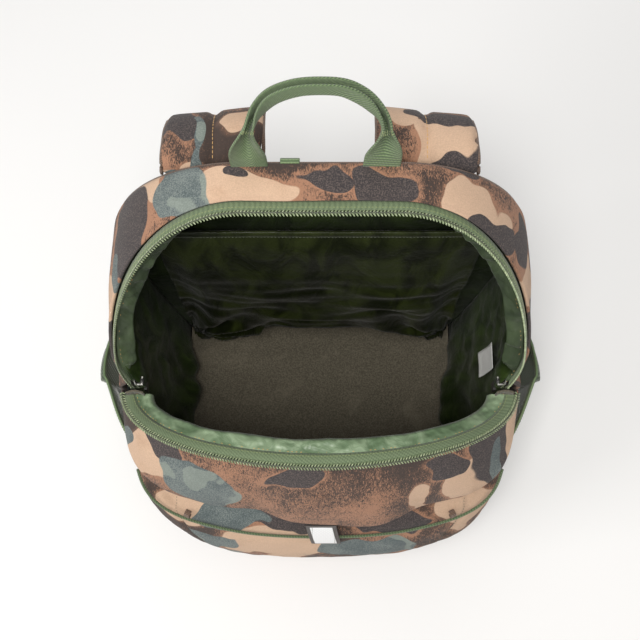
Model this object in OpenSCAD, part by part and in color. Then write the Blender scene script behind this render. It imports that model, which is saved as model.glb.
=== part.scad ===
// Camouflage daypack with its main zip open and the front flap dropped forward.
// +Z is up, the straps are at +Y, the front pocket is at -Y, and the origin is at the
// middle of the base's flat underside. Lengths are in millimetres.

/* [Body] */
// Height of the back panel
body_h = 405; // [380:5:430]
// Half width of the body at its base
base_half_w = 135; // [125:1:142]
// Half width of the body where it is widest
body_half_w = 157; // [150:1:162]
// Height at which the body is widest
wide_z = 262; // [250:1:275]
// Half length of the level stretch at the very top
top_half_w = 52; // [35:1:65]
// Rear face of the back panel
back_y = 84; // [80:1:90]
// Thickness of the back panel with its board and foam
back_t = 8; // [6:1:9]
// Forward end of the straight side walls
side_front_y = -33; // [-36:1:-30]
// Thickness of the shell fabric with its backing
wall_t = 2.5; // [2:0.5:3]
// Thickness of the base panel
base_t = 4; // [3:0.5:4]

/* [Opening] */
// Forward distance of the rear rim at its crest
crest_y = 51; // [45:1:56]
// Height of the two ends of the main zip
zip_end_z = 236; // [232:1:240]
// Forward position of the two ends of the main zip
zip_end_y = -39; // [-42:1:-36]
// Height of the dropped front rim at its middle
front_rim_z = 264; // [258:1:270]
// Fall of the front rim from its middle to its ends
front_rim_drop = 44; // [36:1:48]
// Forward reach of the front rim
front_rim_reach = 69; // [64:1:74]
// Height of the front flap below its rim
flap_h = 36; // [30:1:40]

/* [Pockets] */
// Height of the front pocket
pocket_h = 160; // [150:1:165]
// Forward reach of the front pocket from its centre line
pocket_reach = 100; // [94:1:104]
// Height of the mesh on the side pockets
side_pocket_h = 170; // [150:1:178]
// Bulge of the side pockets at their mouth
side_bulge = 27; // [20:1:30]

/* [Straps] */
// Width of the padded shoulder straps
strap_w = 68; // [60:1:72]
// Thickness of the padded shoulder straps
strap_t = 12; // [9:1:13]
// Width of the webbing on the handle
handle_w = 25; // [20:1:26]
// Distance between the middles of the handle's legs
handle_gap = 87; // [80:1:95]
// Height of the haul handle
handle_h = 76; // [60:1:85]
// Backward lean of the haul handle, in degrees
handle_lean = 15; // [5:1:20]
// Width of the lower strap webbing
webbing_w = 20; // [18:1:25]

/* [Hidden] */

gap = 0.3;                      // space between neighbouring pieces
thin = 1;                       // thickness of lining, tape and mesh
squareness = 2.7;               // exponent of the superellipse in plan
wall_back_y = back_y - back_t - gap;
tape_w = 7;                     // shell edge to zip teeth
coil_r = 2;
lining_d = wall_t + 0.8;        // depth of the lining under the outer face
base_top = base_t + gap;

// Colours
camo_tan = [0.76, 0.60, 0.47];
camo_brown = [0.42, 0.30, 0.23];
satin_green = [0.20, 0.27, 0.16];
webbing_green = [0.30, 0.38, 0.26];
dark_olive = [0.20, 0.18, 0.14];

// ---- helpers -----------------------------------------------------------------

function unit(v) = v / norm(v);
function flip_x(p) = [-p.x, p.y, p.z];
function power(v, e) = v <= 0 ? 0 : pow(v, e);

// Point of a superellipse quarter or half in plan: a half width, b forward reach
function plan_point(angle, a, b, y0, z) =
    [a * sign(cos(angle)) * power(abs(cos(angle)), 2 / squareness),
     y0 - b * power(abs(sin(angle)), 2 / squareness), z];

// Closed skin between an outer and an inner grid of points, given row by row
module skin(outer, inner) {
    rows = len(outer);
    cols = len(outer[0]);
    n = rows * cols;
    points = concat([for (row = outer) each row], [for (row = inner) each row]);
    faces = concat(
        [for (i = [0:rows - 2], j = [0:cols - 2]) each let (a = i * cols + j)
            [[a, a + 1, a + cols], [a + 1, a + cols + 1, a + cols]]],
        [for (i = [0:rows - 2], j = [0:cols - 2]) each let (a = n + i * cols + j)
            [[a, a + cols, a + 1], [a + 1, a + cols, a + cols + 1]]],
        [for (j = [0:cols - 2]) each let (a = j, b = (rows - 1) * cols + j)
            [[a, n + a, a + 1], [a + 1, n + a, n + a + 1],
             [b, b + 1, n + b], [b + 1, n + b + 1, n + b]]],
        [for (i = [0:rows - 2]) each let (a = i * cols, b = i * cols + cols - 1)
            [[a, a + cols, n + a], [a + cols, n + a + cols, n + a],
             [b, n + b, b + cols], [b + cols, n + b, n + b + cols]]]);
    polyhedron(points = points, faces = faces);
}

// Closed solid through a row of rings that have equal numbers of points
module loft(rings) {
    count = len(rings);
    n = len(rings[0]);
    faces = concat(
        [for (i = [0:count - 2], k = [0:n - 1]) each
            let (a = i * n + k, b = i * n + (k + 1) % n)
            [[a, b, a + n], [b, b + n, a + n]]],
        [[for (k = [n - 1:-1:0]) k], [for (k = [0:n - 1]) (count - 1) * n + k]]);
    polyhedron(points = [for (r = rings) each r], faces = faces);
}

function tangent(path, i) = unit(path[min(i + 1, len(path) - 1)] - path[max(i - 1, 0)]);

// Ring of a section round a path's point, its first axis kept along across
function ring_at(path, i, across, section) =
    let (t = tangent(path, i), u = unit(across - (across * t) * t), v = cross(t, u))
    [for (s = section) path[i] + s.x * u + s.y * v];

function round_section(r, sides) =
    [for (k = [0:sides - 1]) r * [cos(360 * k / sides), sin(360 * k / sides)]];
function flat_section(w, t) = [[-w, -t] / 2, [w, -t] / 2, [w, t] / 2, [-w, t] / 2];
// Flat section with rounded long edges, as a padded strap has
function pad_section(w, t) =
    [for (k = [0:11]) let (a = 15 + 30 * k)
        [sign(cos(a)) * (w / 2 - t / 2) + t / 2 * cos(a), t / 2 * sin(a)]];

module tube(path, r, sides, across = [0, 0, 1]) {
    loft([for (i = [0:len(path) - 1]) ring_at(path, i, across, round_section(r, sides))]);
}

// ---- body outline ------------------------------------------------------------

// Half width of the body at a height
function half_w(z) = z <= wide_z
    ? base_half_w + (body_half_w - base_half_w) * sin(90 * z / wide_z)
    : top_half_w + (body_half_w - top_half_w)
        * sqrt(max(0, 1 - pow((z - wide_z) / (body_h - wide_z), 2)));

// The top of the arch from right to left, d below the outer face, as [x, z]
function arch_top(d) = concat(
    [for (a = [0:9:90])
        [top_half_w + (body_half_w - top_half_w - d) * cos(a),
         wide_z + (body_h - wide_z - d) * sin(a)]],
    [for (a = [90:-9:0])
        [-top_half_w - (body_half_w - top_half_w - d) * cos(a),
         wide_z + (body_h - wide_z - d) * sin(a)]]);

// Forward edge of the rear half of the mouth at a height: a sloping plane
function rim_y(z) = crest_y - (body_h - z) * (crest_y - zip_end_y) / (body_h - zip_end_z);
// The zip's ends turn inward
turn_z = 275;
turn_in = 14;
function rim_in(z) = z < turn_z ? turn_in * pow((turn_z - z) / (turn_z - zip_end_z), 2) : 0;

// Forward reach of the front panel below the side walls' ends, at a height
bulge_z = 190;
base_reach = 65;
bulge_reach = 28;
function front_reach(z) = base_reach + (z <= bulge_z ? bulge_reach * sin(90 * z / bulge_z)
    : bulge_reach - 8 * pow((z - bulge_z) / 35, 2));

// The dropped front rim at an angle, 0 at the right end and 180 at the left
rim_half_w = 160;
function rim_z(angle) = front_rim_z - front_rim_drop * power(abs(cos(angle)), squareness);
function front_rim(angle, d) =
    [(rim_half_w - d) * cos(angle), side_front_y - (front_rim_reach - d) * sin(angle),
     rim_z(angle)];
flap_from = 8;                  // angle at which the flap starts
flap_steps = 24;
flap_angles = [for (k = [0:flap_steps]) flap_from + (180 - 2 * flap_from) * k / flap_steps];

// ---- shell -------------------------------------------------------------------

function body_plan(z, d) = concat(
    [[half_w(z) - d, wall_back_y + gap], [half_w(z) - d, side_front_y]],
    [for (a = [7.5:7.5:172.5]) let (p = plan_point(a, half_w(z) - d,
        front_reach(z) - d, side_front_y, z)) [p.x, p.y]],
    [[-half_w(z) + d, side_front_y], [-half_w(z) + d, wall_back_y + gap]]);

module base_panel() {
    color(dark_olive) linear_extrude(base_t)
        polygon(concat([[base_half_w, back_y]], body_plan(0, 0), [[-base_half_w, back_y]]));
}

module floor_lining() {
    color(dark_olive) translate([0, 0, base_top]) linear_extrude(2)
        polygon(body_plan(0, lining_d + thin + 1));
}

// Outline of the back panel, d inside its edge, as [x, z]
function back_outline(d, z0) = concat(
    [for (z = [z0:30:wide_z - 20]) [half_w(z) - d, z]], arch_top(d),
    [for (i = [floor((wide_z - 20 - z0) / 30):-1:0]) [-half_w(z0 + 30 * i) + d, z0 + 30 * i]]);

module upright_plate(outline, y, t) {
    translate([0, y + t, 0]) rotate([90, 0, 0]) linear_extrude(t) polygon(outline);
}

module back_panel() {
    color(camo_brown) upright_plate(back_outline(0, base_top), back_y - back_t, back_t);
}

pad_t = 8;
module back_pad() {
    color([0.16, 0.17, 0.13]) {
        for (s = [-1, 1]) upright_plate(
            [for (p = [[14, 110], [82, 110], [92, 120], [92, 330], [78, 346], [14, 346]])
                [s * p.x, p.y]], back_y + gap, pad_t);
        upright_plate([[-92, 26], [92, 26], [98, 36], [98, 92], [92, 100], [-92, 100],
            [-98, 92], [-98, 36]], back_y + gap, pad_t);
    }
}

side_zs = [for (i = [0:14]) base_top + i * (wide_z - 2 * gap - base_top) / 14];
function side_front(z) = z < zip_end_z ? side_front_y : rim_y(z) + tape_w;
function side_rows(d) = [for (y_end = [0, 1])
    [for (z = side_zs) [half_w(z) - d, y_end == 0 ? side_front(z) : wall_back_y, z]]];

module side_panel_right() {
    color(camo_tan) skin(side_rows(0), side_rows(wall_t));
}
module side_panel_left() {
    mirror([1, 0, 0]) side_panel_right();
}

function top_row(d, y_end) = [for (p = arch_top(d))
    [p.x, y_end == 0 ? rim_y(p.y) + tape_w : wall_back_y, p.y]];
module top_gusset() {
    color(camo_brown) skin([top_row(0, 0), top_row(0, 1)], [top_row(wall_t, 0), top_row(wall_t, 1)]);
}

// Wall of the main compartment behind the pocket, up to the flap's lower edge
front_angles = [for (k = [0:24]) 7.5 * k];
front_steps = 8;
function flap_low(angle) = rim_z(angle) - flap_h;
function front_rows(d) = [for (i = [0:front_steps])
    [for (a = front_angles) let (top = flap_low(a) - gap,
        z = base_top + (top - base_top) * i / front_steps)
        plan_point(a, half_w(z) - d, front_reach(z) - d, side_front_y - gap, z)]];
module front_panel() {
    color(camo_brown) skin(front_rows(wall_t), front_rows(0));
}

// ---- front pocket ------------------------------------------------------------

pocket_y = -60;                 // centre line of the pocket's plan
pocket_full_z = 100;            // height of its fullest point
function pocket_b(z) = z > pocket_full_z
    ? pocket_reach - 17 * pow((z - pocket_full_z) / 50, 2)
    : pocket_reach - 57 * pow((pocket_full_z - z) / 92, 2);
pocket_angles = [for (k = [0:24]) 12 + 6.5 * k];
function pocket_row(z, d) =
    [for (a = pocket_angles) plan_point(a, half_w(z) - 4 - d, pocket_b(z) - d, pocket_y, z)];
pocket_zs = [for (i = [0:10]) base_top + 4 + i * (pocket_h - 10 - base_top) / 10];
module front_pocket() {
    color(camo_tan) skin([for (z = pocket_zs) pocket_row(z, wall_t)],
        [for (z = pocket_zs) pocket_row(z, 0)]);
}
module pocket_hem() {
    z0 = pocket_zs[10] + gap;
    color(webbing_green) skin([for (z = [z0, pocket_h]) pocket_row(z, wall_t)],
        [for (z = [z0, pocket_h]) pocket_row(z, 0)]);
}

// Bungee across the pocket: round points on its face, from the right end to the middle
bungee_r = 1.6;
bungee_half = [[150, -93, 186], [147, -104, 177], [140, -115, 168], [128, -124, 162],
    [112, -131, 157], [90, -137, 154], [64, -142, 152], [38, -144.5, 151], [13, -145.5, 150]];
bungee_path = concat(bungee_half, [for (i = [len(bungee_half) - 1:-1:0]) flip_x(bungee_half[i])]);
module bungee_cord() {
    color(webbing_green) tube(bungee_path, bungee_r, 8);
}

// Four fabric loops that the bungee runs through: two at its ends, two at the corners
module bungee_loops() {
    color(webbing_green) for (s = [-1, 1]) {
        translate([s * 149.5, -87.8, 191]) rotate([0, 0, s * 60]) cube([9, 3, 9], center = true);
        translate([s * 112, -126.5, 159]) rotate([0, 0, s * 25]) cube([9, 2, 12], center = true);
    }
}

// Tab that hangs over the bungee, with a reflective face
loop_at = [0, -145.4, 160.5];
loop_tilt = -17.8;
loop_size = [24, 1.4, 40];
patch_size = [18, 0.6, 35];
module light_loop() {
    color([0.25, 0.22, 0.21]) translate(loop_at) rotate([loop_tilt, 0, 0])
        cube(loop_size, center = true);
}
module reflective_patch() {
    color("white") translate(loop_at) rotate([loop_tilt, 0, 0])
        translate([0, -(loop_size.y + patch_size.y) / 2 - 0.05, 0])
            cube(patch_size, center = true);
}

// ---- rear rim, zip and lining ------------------------------------------------

// Heights along the rear rim's right side, then the arch, then the left side
zip_low_z = 256;
function rim_line(d, y_off) = let (
    side = [[half_w(zip_low_z) - d - rim_in(zip_low_z), zip_low_z]],
    arch = arch_top(d),
    shape = concat(side, [for (p = arch) [p.x - sign(p.x) * rim_in(p.y), p.y]],
        [for (p = side) [-p.x, p.y]]))
    [for (p = shape) [p.x, rim_y(p.y) + y_off, p.y]];

module zip_tape_back() {
    color(webbing_green) skin([rim_line(0.6, 0.4), rim_line(0.6, tape_w - gap)],
        [rim_line(0.6 + thin, 0.4), rim_line(0.6 + thin, tape_w - gap)]);
}
module zip_coil_back() {
    color(webbing_green) tube(rim_line(1.2, -coil_r), coil_r, 8, [0, 1, 0]);
}
lining_band_w = 20;
module lining_band_back() {
    color(satin_green) skin([rim_line(lining_d, 0.4), rim_line(lining_d, lining_band_w)],
        [rim_line(lining_d + thin, 0.4), rim_line(lining_d + thin, lining_band_w)]);
}

lining_zs = [for (i = [0:10]) base_top + 3 + i * (wide_z - 8 - base_top) / 10];
sleeve_y = 64;                  // front face of the sleeve on the back wall
function lining_rows(d) = [for (y_end = [0, 1]) [for (z = lining_zs)
    [half_w(z) - d, y_end == 0 ? max(side_front_y + 4, rim_y(z) + lining_band_w + 3)
        : sleeve_y - 2, z]]];
module lining_right() {
    color(satin_green) skin(lining_rows(lining_d), lining_rows(lining_d + thin));
}
module lining_left() {
    mirror([1, 0, 0]) lining_right();
}
function front_lining_rows(d) = [for (i = [0:front_steps])
    [for (k = [1:23]) let (a = front_angles[k], top = flap_low(a) - 3,
        low = base_top + 3, z = low + (top - low) * i / front_steps)
        plan_point(a, half_w(z) - d, front_reach(z) - d, side_front_y - gap, z)]];
module lining_front() {
    color(satin_green) skin(front_lining_rows(lining_d + thin), front_lining_rows(lining_d));
}

sleeve_h = 322;
sleeve_half_w = 124;
sleeve_t = 2.5;
module inner_sleeve() {
    color(satin_green) translate([-sleeve_half_w, sleeve_y, base_top + 3])
        cube([2 * sleeve_half_w, sleeve_t, sleeve_h - base_top - 3 - gap]);
}
module sleeve_hem() {
    color(webbing_green) translate([-sleeve_half_w, sleeve_y - 0.5, sleeve_h])
        cube([2 * sleeve_half_w, sleeve_t + 1, 9]);
}
module care_label() {
    color("lightgray") translate([142, -12, 158]) cube([0.6, 22, 48]);
}

garage_h = 22;
module zip_garage_right() {
    color(dark_olive) translate([half_w(zip_end_z) - 15, zip_end_y + 1, zip_end_z - 8 - garage_h])
        cube([11, 3, garage_h]);
}
module zip_garage_left() {
    mirror([1, 0, 0]) zip_garage_right();
}

// ---- side pockets ------------------------------------------------------------

side_pocket_y = [-68, 58];      // forward and rear seams of the side pockets
side_cols = 12;
// Point of a side pocket, f from its forward seam at 0 to its rear seam at 1
function side_point(f, z, d) =
    let (full = power(sin(180 * f), 0.8),
        bulge = 3 + (side_bulge - 3) * pow(min(z, side_pocket_h) / side_pocket_h, 1.5))
    [half_w(z) + 0.8 + d + bulge * full,
     side_pocket_y[0] + (side_pocket_y[1] - side_pocket_y[0]) * f, z];
function side_pocket_row(z, d) = [for (j = [0:side_cols]) side_point(j / side_cols, z, d)];
side_pocket_zs = [for (i = [0:8]) 12 + i * (side_pocket_h - 12) / 8];
side_t = 1.4;
module side_pocket_right() {
    color(webbing_green) skin([for (z = side_pocket_zs) side_pocket_row(z, 0)],
        [for (z = side_pocket_zs) side_pocket_row(z, side_t)]);
}
module side_pocket_left() {
    mirror([1, 0, 0]) side_pocket_right();
}
hem_h = 9;
module side_hem_right() {
    zs = [side_pocket_h + gap, side_pocket_h + hem_h];
    color(webbing_green) skin([for (z = zs) side_pocket_row(z, -0.3)],
        [for (z = zs) side_pocket_row(z, side_t + 0.5)]);
}
module side_hem_left() {
    mirror([1, 0, 0]) side_hem_right();
}
// Reflective tab on the hem's outer face
function side_tab_row(z, d) = [for (f = [0.63:0.036:0.78]) side_point(f, z, side_t + d)];
module side_tab_right() {
    zs = [side_pocket_h + 1, side_pocket_h + 8];
    color("white") skin([for (z = zs) side_tab_row(z, 0.8)], [for (z = zs) side_tab_row(z, 1.5)]);
}
module side_tab_left() {
    mirror([1, 0, 0]) side_tab_right();
}

// ---- front flap, hinged at the zip's ends --------------------------------------

// Lower edge of the flap on the front panel's line, rim at the top
function flap_row(f, d) = [for (a = flap_angles)
    let (z = flap_low(a), low = plan_point(a, half_w(z) - d, front_reach(z) - d,
            side_front_y - gap, z),
        high = front_rim(a, d), mix = low + (high - low) * f,
        swell = 3 * sin(180 * f) * sin(a))
    [mix.x, mix.y - swell, mix.z]];
flap_fs = [0, 0.35, 0.7, 1];
module front_flap() {
    color(camo_brown) skin([for (f = flap_fs) flap_row(f, wall_t)],
        [for (f = flap_fs) flap_row(f, 0)]);
}
// Rows along the rim, d inside its outer edge: the zip is turned over the edge, so its
// teeth lie outermost, with the tape and the lining's band behind them
function rim_row(d, rise) = [for (a = flap_angles) front_rim(a, d) + [0, 0, rise]];
coil_in = 1.2;
tape_in = coil_in + coil_r + 0.6;
band_in = tape_in + tape_w + gap;
band_w = 16;
module zip_tape_front() {
    color(webbing_green) skin([rim_row(tape_in, 1.5), rim_row(tape_in + tape_w, 1)],
        [rim_row(tape_in, 1.5 + thin), rim_row(tape_in + tape_w, 1 + thin)]);
}
module zip_coil_front() {
    color(webbing_green) tube(rim_row(coil_in, coil_r + 0.6), coil_r, 8);
}
module lining_band_front() {
    color(satin_green) skin([rim_row(band_in, 0.5), rim_row(band_in + band_w, -5)],
        [rim_row(band_in, 0.5 + thin), rim_row(band_in + band_w, -5 + thin)]);
}

// ---- zip sliders and pulls -----------------------------------------------------

slider_at = [146, -30, 240];    // middle of the right slider
slider_tilt = [-28.4, 15.9, 0]; // the zip's direction at its end
slider_l = 12;
slider_w = 9;
pull_pivot = [140.4, -30, 240.5];
pin_r = 0.8;

// Two plates joined by a post, open to the zip on three sides, with a bridge inside
module slider_right_body() {
    translate(slider_at) rotate(slider_tilt) {
        for (x = [-2.6, 1.4]) translate([x, 0, 0]) rotate([0, 90, 0]) linear_extrude(1.2)
            polygon([[-slider_l / 2, -slider_w / 2 + 1], [-slider_l / 2, slider_w / 2 - 1],
                [-1, slider_w / 2], [slider_l / 2, 2.2], [slider_l / 2, -2.2],
                [-1, -slider_w / 2]]);
        translate([-2, -1, 3]) cube([4.4, 2, 3]);
    }
}
module zip_slider_right() {
    color("silver") {
        slider_right_body();
        translate(pull_pivot) rotate([90, 0, 0]) cylinder(h = 7, r = pin_r, center = true, $fn = 24);
        for (y = [-3.5, 2.3]) translate(pull_pivot + [-pin_r, y, -pin_r])
            cube([4.2, 1.2, 2 * pin_r]);
    }
}
module zip_slider_left() {
    mirror([1, 0, 0]) zip_slider_right();
}
pull_l = 22;
module zip_pull_right() {
    color([0.08, 0.08, 0.08]) translate(pull_pivot) difference() {
        union() {
            rotate([90, 0, 0]) cylinder(h = 3.6, r = 2, center = true, $fn = 24);
            translate([-1, -1.8, -pull_l]) cube([2, 3.6, pull_l]);
            translate([-1.2, -3.5, -pull_l - 6]) cube([2.4, 7, 10]);
        }
        rotate([90, 0, 0]) cylinder(h = 8, r = pin_r + 0.1, center = true, $fn = 24);
    }
}
module zip_pull_left() {
    mirror([1, 0, 0]) zip_pull_right();
}

// ---- haul handle ---------------------------------------------------------------

handle_at = [0, 80, 407.5];     // middle of the seam that the handle turns on
handle_up = [0, sin(handle_lean), cos(handle_lean)];
// Half of the handle's line as [x, height]: a leg, then a round shoulder
handle_half = concat([for (h = [0, 0.2, 0.4, 0.55]) [handle_gap / 2 - 6 * h, h * handle_h]],
    [for (a = [0:18:90]) [handle_gap / 2 - 4 - 22 * (1 - cos(a)),
        handle_h * (0.62 + 0.38 * sin(a))]]);
handle_line = concat(handle_half,
    [for (i = [len(handle_half) - 1:-1:0]) [-handle_half[i].x, handle_half[i].y]]);
handle_path = [for (p = handle_line) handle_at + [p.x, 0, 0] + p.y * handle_up];
// Flat on the legs, folded in half on the grip
function grip(h) = min(1, max(0, (h / handle_h - 0.3) / 0.25));
module haul_handle() {
    color(webbing_green) loft([for (i = [0:len(handle_path) - 1])
        let (g = grip(handle_line[i].y))
        ring_at(handle_path, i, [0, cos(handle_lean), -sin(handle_lean)],
            flat_section(2.2 + (handle_w / 2 - 2.2) * g, handle_w + (6 - handle_w) * g))]);
}

// ---- shoulder straps -------------------------------------------------------------

// Middle line of a strap: [outward, back, up]
strap_line = [[69, 93, 389], [69, 104, 393], [70, 117, 392], [71, 129, 386], [72, 139, 375],
    [74, 145, 358], [77, 148, 334], [81, 148, 306], [86, 146, 274], [91, 143, 242],
    [96, 139, 212], [100, 134, 184], [103, 129, 158]];
function strap_width(i) = i < 9 ? strap_w : strap_w - 7 * (i - 8);
module shoulder_strap_right() {
    color(camo_tan) loft([for (i = [0:len(strap_line) - 1])
        ring_at(strap_line, i, [1, 0, 0], pad_section(strap_width(i), strap_t))]);
}
module shoulder_strap_left() {
    mirror([1, 0, 0]) shoulder_strap_right();
}
module strap_yoke() {
    color(webbing_green) translate([-112, back_y + gap, 372]) cube([224, 2.4, 10]);
}

lock_at = [104, 127.3, 141];    // middle of the ladder lock's upper bar
module strap_tab_right() {
    color(webbing_green) translate([104, 128.3, 150]) rotate([-9, 0, 0])
        cube([webbing_w, 1.6, 9], center = true);
}
module strap_tab_left() {
    mirror([1, 0, 0]) strap_tab_right();
}
lock_size = [30, 3, 26];
module ladder_lock_right() {
    color([0.1, 0.1, 0.1]) translate(lock_at) rotate([-9, 0, 0]) difference() {
        translate([-lock_size.x / 2, -lock_size.y / 2, -lock_size.z + 3]) cube(lock_size);
        for (z = [-4, -12, -20]) translate([-webbing_w / 2 - 1, -lock_size.y, z])
            cube([webbing_w + 2, 2 * lock_size.y, 4.5]);
    }
}
module ladder_lock_left() {
    mirror([1, 0, 0]) ladder_lock_right();
}
webbing_line = [[104, 123, 141], [105, 118.6, 116], [107, 113, 92], [109, 106, 68],
    [111, 97, 50], [112, 91, 38], [112, 89.5, 26]];
module strap_webbing_right() {
    color(webbing_green) loft([for (i = [0:len(webbing_line) - 1])
        ring_at(webbing_line, i, [1, 0, 0], flat_section(webbing_w, 1.6))]);
}
module strap_webbing_left() {
    mirror([1, 0, 0]) strap_webbing_right();
}
module anchor_wing_right() {
    color(camo_brown) translate([0, back_y + gap + 4, 0]) rotate([90, 0, 0])
        linear_extrude(4) polygon([[130, 8], [132, 44], [122, 44], [101, 34], [100.5, 24]]);
}
module anchor_wing_left() {
    mirror([1, 0, 0]) anchor_wing_right();
}

// ---- sternum strap, open, hanging from its two sliders ---------------------------

sternum_z = 292;
sternum_at = [83.5, 157.4, sternum_z];
rail_line = [[77, 154.7, 334], [81, 154.7, 306], [86, 152.6, 274], [89, 151, 252]];
module sternum_rail_right() {
    color(webbing_green) loft([for (i = [0:len(rail_line) - 1])
        ring_at(rail_line, i, [1, 0, 0], flat_section(10, 0.8))]);
}
module sternum_rail_left() {
    mirror([1, 0, 0]) sternum_rail_right();
}
module sternum_slider_right() {
    color([0.1, 0.1, 0.1]) translate(sternum_at) difference() {
        cube([24, 3, 12], center = true);
        translate([0, 0, -1.5]) cube([18, 5, 3.2], center = true);
    }
}
module sternum_slider_left() {
    mirror([1, 0, 0]) sternum_slider_right();
}
sternum_l = 70;
module sternum_webbing_right() {
    color(webbing_green) translate(sternum_at + [-8, 2.2, -6 - sternum_l])
        cube([16, 1.4, sternum_l]);
}
module sternum_webbing_left() {
    mirror([1, 0, 0]) sternum_webbing_right();
}
buckle_y = sternum_at.y + 2.9;
buckle_top = sternum_z - 6 - sternum_l - gap;
module sternum_buckle_male() {
    color([0.1, 0.1, 0.1]) translate([-sternum_at.x, buckle_y, buckle_top]) {
        translate([-11, -2.5, -12]) cube([22, 5, 12]);
        for (s = [-1, 1]) translate([s * 8 - 1.2, -1.5, -28]) cube([2.4, 3, 16.1]);
        translate([-1.5, -1, -24]) cube([3, 2, 12.1]);
    }
}
module sternum_buckle_female() {
    color([0.1, 0.1, 0.1]) translate([sternum_at.x, buckle_y, buckle_top]) difference() {
        translate([-12, -4, -26]) cube([24, 8, 26]);
        translate([-10, -2.5, -27]) cube([20, 5, 18]);
    }
}

// ---- drawing ---------------------------------------------------------------------

base_panel();
back_panel();
back_pad();
side_panel_left();
side_panel_right();
top_gusset();
front_panel();
front_pocket();
pocket_hem();
zip_tape_back();
zip_coil_back();
lining_band_back();
inner_sleeve();
sleeve_hem();
floor_lining();
lining_left();
lining_right();
lining_front();
care_label();
strap_yoke();
zip_garage_left();
zip_garage_right();
side_pocket_left();
side_pocket_right();
side_hem_left();
side_hem_right();
side_tab_left();
side_tab_right();
bungee_cord();
bungee_loops();
light_loop();
reflective_patch();
anchor_wing_left();
anchor_wing_right();
front_flap();
zip_tape_front();
zip_coil_front();
lining_band_front();
zip_slider_left();
zip_slider_right();
zip_pull_left();
zip_pull_right();
haul_handle();
shoulder_strap_left();
shoulder_strap_right();
strap_tab_left();
strap_tab_right();
ladder_lock_left();
ladder_lock_right();
strap_webbing_left();
strap_webbing_right();
sternum_rail_left();
sternum_rail_right();
sternum_slider_left();
sternum_slider_right();
sternum_webbing_left();
sternum_webbing_right();
sternum_buckle_male();
sternum_buckle_female();
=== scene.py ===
import math
import bpy
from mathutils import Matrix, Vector, noise
from mathutils.bvhtree import BVHTree


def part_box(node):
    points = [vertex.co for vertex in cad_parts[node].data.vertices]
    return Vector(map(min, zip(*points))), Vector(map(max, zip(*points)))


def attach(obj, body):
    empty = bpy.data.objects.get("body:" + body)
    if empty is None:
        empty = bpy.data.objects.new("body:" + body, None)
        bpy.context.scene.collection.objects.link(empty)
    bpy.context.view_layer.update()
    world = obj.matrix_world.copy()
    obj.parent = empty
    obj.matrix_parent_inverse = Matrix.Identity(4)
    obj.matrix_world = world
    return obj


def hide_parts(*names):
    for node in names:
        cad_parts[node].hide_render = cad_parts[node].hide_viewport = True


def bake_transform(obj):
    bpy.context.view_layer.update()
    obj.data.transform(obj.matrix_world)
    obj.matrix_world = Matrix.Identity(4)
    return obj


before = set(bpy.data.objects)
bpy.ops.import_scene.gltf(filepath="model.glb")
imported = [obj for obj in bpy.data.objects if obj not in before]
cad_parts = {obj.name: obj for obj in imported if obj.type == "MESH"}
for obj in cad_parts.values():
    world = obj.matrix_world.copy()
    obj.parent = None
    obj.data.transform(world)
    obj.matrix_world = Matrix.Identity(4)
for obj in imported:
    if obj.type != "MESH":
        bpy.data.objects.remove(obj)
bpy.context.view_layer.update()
print("frame loaded:", len(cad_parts), "nodes")


# camera, floor and light, in metres

cameraSetup = {
    "place": (0.0, -0.195, 1.042),
    "elevation": 75,  # degrees above the horizon
    "lens": 58.3,  # mm, on a 36 mm sensor
}

lights = {
    # place, size, power, colour
    "above": ((-0.12, -0.42, 1.75), 0.55, 19, (1.0, 0.98, 0.95)),
    "key": ((-1.1, -0.45, 0.95), 0.6, 7, (1.0, 0.98, 0.95)),
    "fill": ((1.1, -0.5, 1.0), 1.0, 1.6, (1.0, 0.92, 0.84)),
    "back": ((0.1, 1.3, 0.9), 1.0, 4, (1.0, 1.0, 1.0)),
}


def addCamera():
    data = bpy.data.cameras.new("camera")
    data.lens = cameraSetup["lens"]
    data.sensor_width = 36
    data.clip_start, data.clip_end = 0.01, 20
    camera = bpy.data.objects.new("camera", data)
    camera.location = cameraSetup["place"]
    camera.rotation_euler = (math.radians(90 - cameraSetup["elevation"]), 0, 0)
    bpy.context.scene.collection.objects.link(camera)
    bpy.context.scene.camera = camera


def addLights():
    for name, (place, size, power, colour) in lights.items():
        data = bpy.data.lights.new(name, "AREA")
        data.size, data.energy, data.color = size, power, colour
        light = bpy.data.objects.new(name, data)
        light.location = place
        aim = Vector((0, -0.02, 0.2)) - Vector(place)
        light.rotation_euler = aim.to_track_quat("-Z", "Y").to_euler()
        bpy.context.scene.collection.objects.link(light)
    world = bpy.data.worlds.new("studio")
    world.use_nodes = True
    sky = world.node_tree.nodes["Background"]
    sky.inputs["Color"].default_value = (1, 1, 1, 1)
    sky.inputs["Strength"].default_value = 0.36
    bpy.context.scene.world = world
    bpy.context.scene.view_settings.view_transform = "Standard"


addCamera()
addLights()


# shader building: python operators on sockets add Math nodes

class Wire:
    def __init__(self, shade, socket):
        self.shade, self.socket = shade, socket

    def __add__(self, other):
        return self.shade.math("ADD", self, other)

    def __sub__(self, other):
        return self.shade.math("SUBTRACT", self, other)

    def __rsub__(self, other):
        return self.shade.math("SUBTRACT", other, self)

    def __mul__(self, other):
        return self.shade.math("MULTIPLY", self, other)

    __radd__ = __add__
    __rmul__ = __mul__


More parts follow.
